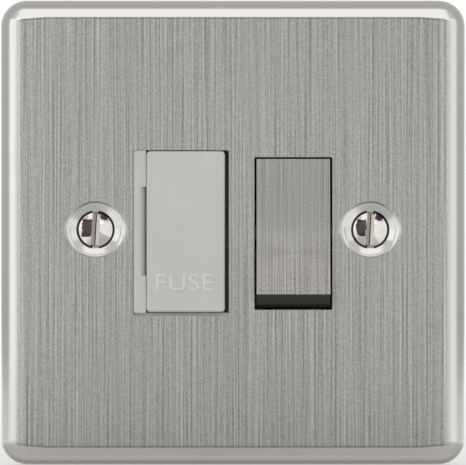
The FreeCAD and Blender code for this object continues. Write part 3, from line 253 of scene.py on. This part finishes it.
# The plate's smoother shoulders and dishes, round the screws' axes
ROLLED_HAIRLINES = 0.06
ROLLED_ROUGHNESS_DROP = 0.12
SIDE_BRUSHED = (46.6 * MM, 48.4 * MM)
BRUSH_END = 0.2 * MM
DISH_X = 30.15 * MM
DISH_Z = 0.6 * MM
DISH_RADIUS = 5.9 * MM
DISH_INNER = 0.1 * MM
DISH_OUTER = 0.2 * MM
DISH_GLOW = 1.3 * MM
GLOW_UPRIGHT = 0.9

# Painted shade: dark lines along a crease at the top and bottom of the face and on a rim round each dish,
# and a painted shadow in the seat round each head
CREASE_LEVEL = 47.05 * MM
CREASE_HALF = 0.2 * MM
CREASE_SOFT = 0.18 * MM
CREASE_BEND = (41 * MM, 48 * MM)
CREASE_DROP = 0.55 * MM
CREASE_END = (45.0 * MM, 47.6 * MM)
CREASE_SHADE_DEPTH = 0.42
RIM = (5.87 * MM, 6.2 * MM)
RIM_UPRIGHT = (0.55, 0.9)
RIM_SHADE_DEPTH = 0.66
SEAT_RADIUS = 4.22 * MM
SEAT_SHADE_DEPTH = 0.96
SEAT_SLOT = (0.62 * MM, 0.8 * MM)
RING_SOFT = 0.08 * MM
# The painted shade lines' colour and the seats' painted shadow, then the polished steel's own colour
SHADE_LINE_COLOUR = colour(40, 42, 45)
SEAT_SHADE = colour(14, 12, 11)
POLISHED = colour(188, 187, 183)

# Rolled edges: where the face falls off, how far, and where the roll fades out
SIDE_ROLL = (45.7 * MM, 48.4 * MM)
SIDE_FALL = 0.34 * MM
SIDE_FADE = (46.2 * MM, 47.0 * MM)
END_ROLL = (47.0 * MM, 48.3 * MM)
END_FALL = 0.17 * MM
END_FADE = (45.5 * MM, 49.0 * MM)
DISH_ROLL = (5.6 * MM, 7.5 * MM)
DISH_FALL = 0.22 * MM


def hairlines(tree, point, tilted):
    """Sum of the hairlines; on a tilted face they don't change with depth."""
    total = 0.0
    for across, along, share, beside in STREAKS:
        scale = (across, 0.0 if tilted else across, along)
        total = plus(tree, total, times(tree, grain(tree, point, scale), share))
        if beside:
            other = minus(tree, 1.0, grain(tree, point, scale, aside=STREAK_BESIDE))
            total = plus(tree, total, times(tree, other, beside))
    return total


def dish_places(tree, place):
    """Three sockets: the distance from the nearest screw's axis, how much of it is
    up or down, as a share, and the distance to the left or right of the axis."""
    across = minus(tree, absolute(tree, place["X"]), DISH_X)
    above = minus(tree, place["Z"], DISH_Z)
    radius = maths(tree, "SQRT", plus(tree, times(tree, across, across), times(tree, above, above)))
    upright = maths(tree, "DIVIDE", absolute(tree, above), radius)
    return radius, upright, absolute(tree, across)


def bent_level(tree, place):
    """Height above or below the middle, with the drop that the crease has near the corners."""
    drop = spread(tree, absolute(tree, place["X"]), *CREASE_BEND, 0.0, CREASE_DROP)
    return plus(tree, absolute(tree, place["Z"]), drop)


def brushed_part(tree, place, normal, outside):
    """1 where the plate has hairlines: on its flat face, inside its shoulders and outside its dishes."""
    level = spread(tree, bent_level(tree, place), CREASE_LEVEL, CREASE_LEVEL + BRUSH_END, 1.0, 0.0)
    level = times(tree, level, spread(tree, absolute(tree, place["X"]), *SIDE_BRUSHED, 1.0, 0.0))
    flat = spread(tree, normal["Y"], *FLAT_FACING, 1.0, 0.0)
    return times(tree, flat, times(tree, level, outside))


def painted_shade_lines(tree, place, normal, radius, upright, aside):
    """Two masks of painted shade: dark lines along the crease and the dishes' rims, and a painted shadow in
    the seats round the screws' heads.
    """
    low = CREASE_LEVEL - CREASE_HALF
    high = CREASE_LEVEL + CREASE_HALF
    crease = times(tree, window(tree, bent_level(tree, place), low, high, CREASE_SOFT),
                   spread(tree, absolute(tree, place["X"]), *CREASE_END, 1.0, 0.0))
    crease = times(tree, crease, spread(tree, normal["Y"], *CREASE_FACING, CREASE_SHADE_DEPTH, 0.0))
    rim = times(tree, window(tree, radius, *RIM, RING_SOFT),
                spread(tree, upright, *RIM_UPRIGHT, 0.0, RIM_SHADE_DEPTH))
    seat = spread(tree, radius, SEAT_RADIUS - RING_SOFT, SEAT_RADIUS + RING_SOFT, SEAT_SHADE_DEPTH, 0.0)
    seat = times(tree, seat, spread(tree, aside, *SEAT_SLOT, 0.0, 1.0))
    front = spread(tree, normal["Y"], *FRONT_FACING, 1.0, 0.0)
    return times(tree, larger(tree, crease, rim), front), times(tree, seat, front)


def rolled_edges(tree, place, normal, radius, upright):
    """Normal of the face where the pressing rounds it off beside its shoulders and dishes."""
    aside = absolute(tree, place["X"])
    level = bent_level(tree, place)
    face = spread(tree, normal["Y"], *ROLL_FACING, 1.0, 0.0)
    side_fall = spread(tree, aside, *SIDE_ROLL, 0.0, -SIDE_FALL, "SMOOTHSTEP")
    sides = bumped(tree, None, side_fall, 1.0,
                   times(tree, face, spread(tree, level, *SIDE_FADE, 1.0, 0.0)))
    end_fall = spread(tree, level, *END_ROLL, 0.0, -END_FALL, "SMOOTHSTEP")
    ends = bumped(tree, None, end_fall, 1.0,
                  times(tree, face, spread(tree, aside, *END_FADE, 1.0, 0.0)), sides)
    dish_fall = spread(tree, radius, *DISH_ROLL, -DISH_FALL, 0.0, "SMOOTHSTEP")
    return bumped(tree, None, dish_fall, 1.0, minus(tree, 1.0, upright), ends)


def plate_finish(tree, place, normal, steel, rolled):
    """Three sockets: the plate's colour, where it is brushed, and the normal of its rolled edges."""
    radius, upright, aside = dish_places(tree, place)
    reach = spread(tree, upright, 0.0, GLOW_UPRIGHT, DISH_RADIUS + DISH_GLOW, DISH_RADIUS + DISH_OUTER)
    outside = spread(tree, radius, DISH_RADIUS - DISH_INNER, reach, 0.0, 1.0)
    brushed = brushed_part(tree, place, normal, outside)
    faint = spread(tree, brushed, 0.0, 1.0, ROLLED_HAIRLINES, 1.0)
    turned = times(tree, spread(tree, normal["Y"], *TURNED_FACING, 0.0, 1.0), outside)
    steel = blend_colour(tree, faint, blend_colour(tree, turned, POLISHED, rolled), steel)
    # Painted shade lines and the seats' painted shadow darken the steel
    lines, seats = painted_shade_lines(tree, place, normal, radius, upright, aside)
    steel = blend_colour(tree, lines, steel, SHADE_LINE_COLOUR)
    steel = blend_colour(tree, seats, steel, SEAT_SHADE)
    return steel, brushed, rolled_edges(tree, place, normal, radius, upright)


def brushed_steel(name, dark, light, roughness, rolled=None, shaded_low_end=None):
    """Steel with hairlines; rolled is the smoother colour of a plate's shoulders, and the last argument
    holds the dark and light colours of a cap's low end, darker there as painted shade."""
    made, tree, shader = new_material(name, light, roughness, metallic=1.0)
    outputs = coordinates(tree)
    point = outputs["Object"]
    place = apart(tree, point)
    lines = hairlines(tree, point, tilted=rolled is None)
    # Painted shade: the cap's colours darken towards its low end
    if shaded_low_end:
        down = spread(tree, place["Z"], *CAP_SHADE_FADE, 1.0, 0.0)
        dark = blend_colour(tree, down, dark, shaded_low_end[0])
        light = blend_colour(tree, down, light, shaded_low_end[1])
    steel = blend_colour(tree, spread(tree, lines, *STREAK_RANGE, 0.0, 1.0), dark, light)
    height = lines
    rolled_normal = None
    if rolled:
        normal = apart(tree, outputs["Normal"])
        steel, brushed, rolled_normal = plate_finish(tree, place, normal, steel, rolled)
        drop = times(tree, spread(tree, brushed, 0.0, 1.0, ROLLED_ROUGHNESS_DROP, 0.0),
                     spread(tree, normal["Y"], *BACK_FACING, 1.0, 0.0))
        feed(tree, shader.inputs["Roughness"], minus(tree, roughness, drop))
        height = times(tree, lines, brushed)
    feed(tree, shader.inputs["Base Color"], steel)
    shader.inputs["Anisotropic"].default_value = BRUSH_STRETCH
    tangent = node(tree, "ShaderNodeTangent", direction_type="RADIAL", axis="Z")
    tree.links.new(tangent.outputs[0], shader.inputs["Tangent"])
    bumped(tree, shader, height, STREAK_DEPTH, STREAK_STRENGTH, rolled_normal)
    return made


# Plain metals, and the screws' nickel with painted dark reflections on its heads and painted shade and
# light in its slot

METAL_CELLS = 900
METAL_WEAR = 0.05
METAL_DULL = 0.9
NICKEL_WEAR = 0.03
NICKEL_DULL = 0.85
SLOT_TURN = math.radians(3.3)
# Painted shade and light on the slot's floor: a shaded left half, a lit right half and a painted shadow
# line along its middle
SLOT_SHADED_HALF = colour(150, 140, 128)
SLOT_LIT_HALF = colour(196, 190, 181)
SLOT_SHADOW_LINE = colour(34, 30, 28)
SLOT_STEP_HALF = 0.05 * MM
SLOT_SHADOW_HALF = 0.12 * MM
SLOT_SHADOW_SOFT = 0.04 * MM
# The slot's floor: a mask rises over the first two depths and falls over the last two
SLOT_FLOOR_START = (-6.97 * MM, -6.87 * MM)
SLOT_FLOOR_END = (-6.77 * MM, -6.67 * MM)
# Painted dark reflections on the fronts of the heads: their colour, their places and the noise that waves
# their edges
HEAD_REFLECTION_COLOUR = colour(62, 54, 54)
# Each painted reflection: its left, right, low and high edges from the middle of the head
HEAD_REFLECTION_PATCHES = ((-3.0 * MM, -0.9 * MM, -1.5 * MM, 2.3 * MM),
               (0.9 * MM, 2.5 * MM, 2.1 * MM, 3.7 * MM))
REFLECTION_CELLS = 650
REFLECTION_WAVE = 0.5 * MM
REFLECTION_SOFT = 0.1 * MM
# Between these depths the painted reflections end, so that the thread has none
HEAD_BACK = (-5.7 * MM, -5.6 * MM)


def metal(name, base, roughness):
    """Plain metal with a little uneven polish."""
    made, tree, shader = new_material(name, base, roughness, metallic=1.0)
    cloud = even_grain(tree, coordinates(tree)["Object"], METAL_CELLS)
    feed(tree, shader.inputs["Roughness"], uneven(tree, cloud, roughness, METAL_WEAR))
    bright = spread(tree, cloud, *CLOUD_RANGE, 0.0, 1.0)
    feed(tree, shader.inputs["Base Color"], blend_colour(tree, bright, darker(base, METAL_DULL), base))
    return made


def painted_reflections(tree, point, place, across, above, nickel):
    """The nickel's colour with its painted dark reflections, on the front of the head alone."""
    wave = spread(tree, even_grain(tree, point, REFLECTION_CELLS, detail=1.0), 0.0, 1.0, -REFLECTION_WAVE, REFLECTION_WAVE)
    front = spread(tree, place["Y"], *HEAD_BACK, 1.0, 0.0)
    for left, right, low, high in HEAD_REFLECTION_PATCHES:
        reflection_patch = times(tree, window(tree, plus(tree, across, wave), left, right, REFLECTION_SOFT),
                      window(tree, plus(tree, above, wave), low, high, REFLECTION_SOFT))
        nickel = blend_colour(tree, times(tree, reflection_patch, front), nickel, HEAD_REFLECTION_COLOUR)
    return nickel


def painted_slot_shade(tree, place, across, nickel):
    """The head's colour with the slot's floor in it: painted shade on one side, painted light on the other,
    and a painted shadow along its middle.
    """
    lit_share = spread(tree, across, -SLOT_STEP_HALF, SLOT_STEP_HALF, 0.0, 1.0)
    floor = blend_colour(tree, lit_share, SLOT_SHADED_HALF, SLOT_LIT_HALF)
    middle = window(tree, across, -SLOT_SHADOW_HALF, SLOT_SHADOW_HALF, SLOT_SHADOW_SOFT)
    floor = blend_colour(tree, middle, floor, SLOT_SHADOW_LINE)
    deep = times(tree, spread(tree, place["Y"], *SLOT_FLOOR_START, 0.0, 1.0),
                 spread(tree, place["Y"], *SLOT_FLOOR_END, 1.0, 0.0))
    return blend_colour(tree, deep, nickel, floor)


def slotted_nickel(name, base, roughness):
    """Bright nickel for both fixing screws, with painted dark reflections and painted shade and light in
    the slot.
    """
    made, tree, shader = new_material(name, base, roughness, metallic=1.0)
    point = coordinates(tree)["Object"]
    place = apart(tree, point)
    cloud = even_grain(tree, point, METAL_CELLS)
    feed(tree, shader.inputs["Roughness"], uneven(tree, cloud, roughness, NICKEL_WEAR))
    bright = spread(tree, cloud, *CLOUD_RANGE, 0.0, 1.0)
    nickel = blend_colour(tree, bright, darker(base, NICKEL_DULL), base)
    side = times(tree, maths(tree, "SIGN", place["X"]), DISH_X)
    above = minus(tree, place["Z"], DISH_Z)
    lean = times(tree, above, math.tan(SLOT_TURN))
    across = minus(tree, minus(tree, place["X"], side), lean)
    # Painted dark reflections on the head, then painted shade and light in the slot
    nickel = painted_reflections(tree, point, place, across, above, nickel)
    feed(tree, shader.inputs["Base Color"], painted_slot_shade(tree, place, across, nickel))
    return made


# Plastics

TINT_CELLS = 120
TINT_RANGE = (0.35, 0.65)
TINT_DULL = 0.96
PIT_CELLS = 5200
PIT_WEAR = 0.04
PIT_STRENGTH = 0.5
COARSE_PITS = 0.004 * MM
FINE_PITS = 0.002 * MM


def plastic(name, base, roughness, depth=COARSE_PITS):
    """Moulded plastic with the fine spark finish of its tool."""
    made, tree, shader = new_material(name, base, roughness)
    point = coordinates(tree)["Object"]
    cloud = even_grain(tree, point, TINT_CELLS, detail=2.0)
    bright = spread(tree, cloud, *TINT_RANGE, 0.0, 1.0)
    feed(tree, shader.inputs["Base Color"], blend_colour(tree, bright, darker(base, TINT_DULL), base))
    pits = even_grain(tree, point, PIT_CELLS, detail=2.0)
    feed(tree, shader.inputs["Roughness"], uneven(tree, pits, roughness, PIT_WEAR))
    bumped(tree, shader, pits, depth, PIT_STRENGTH)
    return made


def make_materials():
    """Materials by the name of the record's slot, and one more for the raised letters, lighter than the
    carrier as a painted highlight.
    """
    return {
        "plate_steel": brushed_steel("plate_steel", colour(103, 104, 99), colour(172, 173, 167), 0.28,
                                     rolled=colour(168, 165, 162)),
        # The cap's steel, with painted shade at its low end
        "cap_steel": brushed_steel("cap_steel", colour(103, 105, 101), colour(164, 165, 159), 0.28,
                                   shaded_low_end=(colour(72, 68, 65), colour(160, 156, 151))),
        "screw_nickel": slotted_nickel("screw_nickel", colour(197, 194, 190), 0.10),
        "grey_moulding": plastic("grey_moulding", colour(192, 193, 186), 0.42),
        "rear_moulding": plastic("rear_moulding", colour(214, 214, 207), 0.5),
        "black_moulding": plastic("black_moulding", colour(44, 44, 41), 0.28, FINE_PITS),
        "spring_steel": metal("spring_steel", colour(150, 150, 150), 0.3),
        "fuse_ceramic": plastic("fuse_ceramic", colour(226, 220, 206), 0.35, FINE_PITS),
        "cap_nickel": metal("cap_nickel", colour(200, 197, 190), 0.2),
        "small_screw_zinc": metal("small_screw_zinc", colour(176, 178, 180), 0.3),
        "terminal_screw": metal("terminal_screw", colour(186, 186, 182), 0.26),
        "contact_silver": metal("contact_silver", colour(216, 214, 208), 0.24),
        "contact_brass": metal("contact_brass", colour(202, 168, 98), 0.28),
        # The letters are lighter than the carrier's plastic: a painted highlight on the raised word
        "letters": plastic("letters", colour(209, 210, 204), 0.4, FINE_PITS),
    }


# Pieces

def as_object(name, mesh):
    made = bpy.data.objects.new(name, mesh)
    bpy.context.scene.collection.objects.link(made)
    return made


def finished(piece, body, slot, materials, look=None):
    """Gives a new piece its body and its material, taken from look if given, else from the slot."""
    piece.data.materials.clear()
    piece.data.materials.append(materials[look or slot])
    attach(piece, body)
    return piece


WORD = "FUSE"
WORD_MIDDLE = (-10.55 * MM, -10.95 * MM)
WORD_WIDTH = 12.7 * MM
WORD_HEIGHT = 3.7 * MM
WORD_RELIEF = 0.12 * MM
WORD_SINK = 0.03 * MM
WORD_SPACING = 1.06
WORD_CURVE_STEPS = 6
WORD_FLAT_ANGLE = 0.01
WORD_BEVEL = 0.05 * MM


def flat_letters():
    """The word as a flat mesh of plain letters, in the units of its font."""
    curve = bpy.data.curves.new("fuse_word_curve", "FONT")
    curve.body = WORD
    curve.size = 1.0
    curve.resolution_u = WORD_CURVE_STEPS
    curve.space_character = WORD_SPACING
    text = as_object("fuse_word_text", curve)
    bpy.context.view_layer.update()
    flat = bpy.data.meshes.new_from_object(text.evaluated_get(bpy.context.evaluated_depsgraph_get()))
    bpy.data.objects.remove(text)
    return flat


def make_word(materials):
    """Generic word raised on the fuse carrier."""
    flat = flat_letters()
    low = [min(v.co[axis] for v in flat.vertices) for axis in range(2)]
    high = [max(v.co[axis] for v in flat.vertices) for axis in range(2)]
    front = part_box("fuse_carrier")[0].y
    letters = bmesh.new()
    letters.from_mesh(flat)
    for v in letters.verts:
        across = ((v.co.x - low[0]) / (high[0] - low[0]) - 0.5) * WORD_WIDTH
        up = ((v.co.y - low[1]) / (high[1] - low[1]) - 0.5) * WORD_HEIGHT
        v.co = Vector((WORD_MIDDLE[0] + across, front + WORD_SINK, WORD_MIDDLE[1] + up))
    bmesh.ops.dissolve_limit(letters, angle_limit=WORD_FLAT_ANGLE, verts=letters.verts[:],
                             edges=letters.edges[:])
    grown = bmesh.ops.extrude_face_region(letters, geom=letters.faces[:])
    top = [item for item in grown["geom"] if isinstance(item, bmesh.types.BMVert)]
    bmesh.ops.translate(letters, verts=top, vec=(0, -WORD_RELIEF - WORD_SINK, 0))
    bmesh.ops.recalc_face_normals(letters, faces=letters.faces[:])
    mesh = bpy.data.meshes.new("fuse_word")
    letters.to_mesh(mesh)
    letters.free()
    piece = as_object("fuse_word", mesh)
    bevel = piece.modifiers.new("bevel", "BEVEL")
    bevel.width = WORD_BEVEL
    bevel.segments = 2
    bevel.limit_method = "ANGLE"
    # The letters take the lighter plastic, a painted highlight
    return finished(piece, "carrier", "grey_moulding", materials, look="letters")


THREAD_START = -3.87 * MM
THREAD_END = 19.78 * MM
THREAD_PITCH = 0.6 * MM
THREAD_MAJOR = 1.75 * MM
THREAD_MINOR = 1.42 * MM
THREAD_TIP = 0.8 * THREAD_MINOR
THREAD_SIDES = 32
THREAD_STEPS = 8
WELD = 0.001 * MM
CUT_SLACK = 0.01 * MM
SHARP_ANGLE = math.radians(32)


def smooth(piece):
    """Smooth shading with sharp edges kept."""
    mesh = piece.data
    mesh.shade_smooth()
    mesh.set_sharp_from_angle(angle=SHARP_ANGLE)


def thread_radius(y, part):
    """Radius of the thread at a depth and a share of a turn, run out at both ends."""
    phase = (y / THREAD_PITCH - part) % 1.0
    ridge = 1 - abs(2 * phase - 1)
    lead_in = min(1.0, (y - THREAD_START) / THREAD_PITCH, (THREAD_END - y) / THREAD_PITCH)
    return THREAD_MINOR + (THREAD_MAJOR - THREAD_MINOR) * ridge * max(0.0, lead_in)


def ring(screw, x, y, z, radii):
    """Points round a screw's axis, one for each radius."""
    points = []
    for corner, radius in enumerate(radii):
        angle = corner / len(radii) * math.tau
        points.append(screw.verts.new((x + radius * math.cos(angle), y, z + radius * math.sin(angle))))
    return points


def thread_rings(screw, x, z, end):
    """Rings of points along the thread, and a smaller one at the screw's end."""
    count = int((THREAD_END - THREAD_START) / THREAD_PITCH * THREAD_STEPS)
    rings = []
    for index in range(count + 1):
        y = THREAD_START + (THREAD_END - THREAD_START) * index / count
        radii = [thread_radius(y, corner / THREAD_SIDES) for corner in range(THREAD_SIDES)]
        rings.append(ring(screw, x, y, z, radii))
    rings.append(ring(screw, x, end, z, [THREAD_TIP] * THREAD_SIDES))
    return rings


def make_screw(side, materials):
    """Fixing screw with its cut thread, joined to the CAD screw's own head."""
    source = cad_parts["fixing_screw_" + side]
    low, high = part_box("fixing_screw_" + side)
    screw = bmesh.new()
    screw.from_mesh(source.data)
    bmesh.ops.remove_doubles(screw, verts=screw.verts[:], dist=WELD)
    shank = [f for f in screw.faces if min(v.co.y for v in f.verts) > THREAD_START - CUT_SLACK]
    bmesh.ops.delete(screw, geom=shank, context="FACES")
    rim = [e for e in screw.edges if e.is_boundary]
    rings = thread_rings(screw, (low.x + high.x) / 2, (low.z + high.z) / 2, high.y)
    for near, far in zip(rings, rings[1:]):
        for corner in range(THREAD_SIDES):
            following = (corner + 1) % THREAD_SIDES
            screw.faces.new((near[corner], near[following], far[following], far[corner]))
    start = [screw.edges.get((rings[0][corner - 1], rings[0][corner])) for corner in range(THREAD_SIDES)]
    bmesh.ops.bridge_loops(screw, edges=rim + start)
    screw.faces.new(rings[-1])
    bmesh.ops.recalc_face_normals(screw, faces=screw.faces[:])
    mesh = bpy.data.meshes.new("threaded_screw_" + side)
    screw.to_mesh(mesh)
    screw.free()
    if "custom_normal" in mesh.attributes:
        mesh.attributes.remove(mesh.attributes["custom_normal"])
    piece = as_object("threaded_screw_" + side, mesh)
    smooth(piece)
    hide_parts("fixing_screw_" + side)
    return finished(piece, "housing", "screw_nickel", materials)


# Stage: a pale floor and a white world

FLOOR_Z = -51.2 * MM
FLOOR_HALF = 3.0
FLOOR_COLOUR = (0.86, 0.86, 0.85, 1.0)
FLOOR_ROUGHNESS = 0.9
FLOOR_SPECULAR = 0.1
# For the camera: the glow's share near the object, and where it starts and ends growing to 1
FLOOR_LIFT = 0.50
FLOOR_NEAR = 0.06
FLOOR_FAR = 0.7
# For metal: two distances from the object's origin, and the glow's share at each
FLOOR_IN_METAL = (0.02, 0.10, 0.26, 0.57)
# For metal, to the left and right: where the share grows to 1, where it ends, and the strength added
FLOOR_ASIDE = (0.045, 0.075)
FLOOR_ASIDE_END = (0.50, 1.20)
FLOOR_ASIDE_GLOW = 0.5
# For metal, a strip below the plate's front edge: its front, its back, its softness and its share
FLOOR_STRIP = (-9.6 * MM, -6.8 * MM, 0.6 * MM)
FLOOR_STRIP_LEVEL = 0.92
WORLD_FILL = 0.66


def seen_by(tree, *kinds):
    """1 for the named kinds of ray, 0 for the rest."""
    path = node(tree, "ShaderNodeLightPath")
    seen = 0.0
    for kind in kinds:
        seen = larger(tree, seen, path.outputs["Is %s Ray" % kind])
    return seen


def floor_glow(tree, point):
    """Two sockets: the glow's share of the floor and its strength, for the rays that see it."""
    length = node(tree, "ShaderNodeVectorMath", operation="LENGTH")
    tree.links.new(point, length.inputs[0])
    away = length.outputs["Value"]
    place = apart(tree, point)
    out = absolute(tree, place["X"])
    far = spread(tree, away, FLOOR_NEAR, FLOOR_FAR, FLOOR_LIFT, 1.0)
    aside = times(tree, spread(tree, out, *FLOOR_ASIDE, 0.0, 1.0),
                  spread(tree, out, *FLOOR_ASIDE_END, 1.0, 0.0))
    strip = times(tree, window(tree, place["Y"], *FLOOR_STRIP), FLOOR_STRIP_LEVEL)
    in_metal = larger(tree, spread(tree, away, *FLOOR_IN_METAL), larger(tree, aside, strip))
    share = larger(tree, times(tree, far, seen_by(tree, "Camera", "Transmission")),
                   times(tree, seen_by(tree, "Glossy"), in_metal))
    extra = times(tree, times(tree, aside, FLOOR_ASIDE_GLOW), seen_by(tree, "Glossy"))
    return share, plus(tree, 1.0, extra)


def make_floor():
    """Pale floor that keeps the shadow near the object and turns into the white background."""
    mesh = bpy.data.meshes.new("floor")
    corners = [(-FLOOR_HALF, -FLOOR_HALF, FLOOR_Z), (FLOOR_HALF, -FLOOR_HALF, FLOOR_Z),
               (FLOOR_HALF, FLOOR_HALF, FLOOR_Z), (-FLOOR_HALF, FLOOR_HALF, FLOOR_Z)]
    mesh.from_pydata(corners, [], [(0, 1, 2, 3)])
    floor = as_object("floor", mesh)
    made, tree, shader = new_material("floor", FLOOR_COLOUR, FLOOR_ROUGHNESS, specular=FLOOR_SPECULAR)
    share, strength = floor_glow(tree, coordinates(tree)["Object"])
    glow = node(tree, "ShaderNodeEmission")
    feed(tree, glow.inputs["Strength"], strength)
    mixed = node(tree, "ShaderNodeMixShader")
    feed(tree, mixed.inputs["Fac"], share)
    tree.links.new(shader.outputs[0], mixed.inputs[1])
    tree.links.new(glow.outputs[0], mixed.inputs[2])
    tree.links.new(mixed.outputs[0], tree.nodes["Material Output"].inputs["Surface"])
    mesh.materials.append(made)


def make_world():
    """White for the camera and in reflections, a soft fill for everything else."""
    world = bpy.data.worlds.new("studio")
    world.use_nodes = True
    bpy.context.scene.world = world
    tree = world.node_tree
    ground = tree.nodes["Background"]
    ground.inputs["Color"].default_value = (1.0, 1.0, 1.0, 1.0)
    white = seen_by(tree, "Camera", "Glossy", "Transmission")
    feed(tree, ground.inputs["Strength"], spread(tree, white, 0.0, 1.0, WORLD_FILL, 1.0))


# Light

# Each lamp: its name, degrees to the right of the camera and above it, width and height, radiance
LAMPS = (("top_box", 0, 41, (0.80, 0.66), 0.74),
         ("left_box", -37, 3, (0.83, 0.70), 0.82),
         ("right_box", 38, 3, (0.80, 0.70), 0.52))
LAMP_AWAY = 0.85


def softbox(name, aside, above, size, radiance):
    """Rectangular lamp that faces the plate's centre."""
    across = math.radians(aside)
    up = math.radians(above)
    way = Vector((math.sin(across) * math.cos(up), -math.cos(across) * math.cos(up), math.sin(up)))
    data = bpy.data.lights.new(name, "AREA")
    data.shape = "RECTANGLE"
    data.size, data.size_y = size
    data.energy = radiance * math.pi * size[0] * size[1]
    lamp = bpy.data.objects.new(name, data)
    bpy.context.scene.collection.objects.link(lamp)
    lamp.location = way * LAMP_AWAY
    lamp.rotation_euler = way.to_track_quat("Z", "Y").to_euler()


def make_lights():
    for lamp in LAMPS:
        softbox(*lamp)


def main():
    bpy.context.scene.view_settings.view_transform = "Standard"
    make_camera()
    make_world()
    make_lights()
    make_floor()
    materials = make_materials()
    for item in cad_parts.values():
        for slot in item.material_slots:
            name = slot.material.name.split(".")[0]
            slot.material = materials[name]
    for side in ("left", "right"):
        make_screw(side, materials)
    make_word(materials)


main()
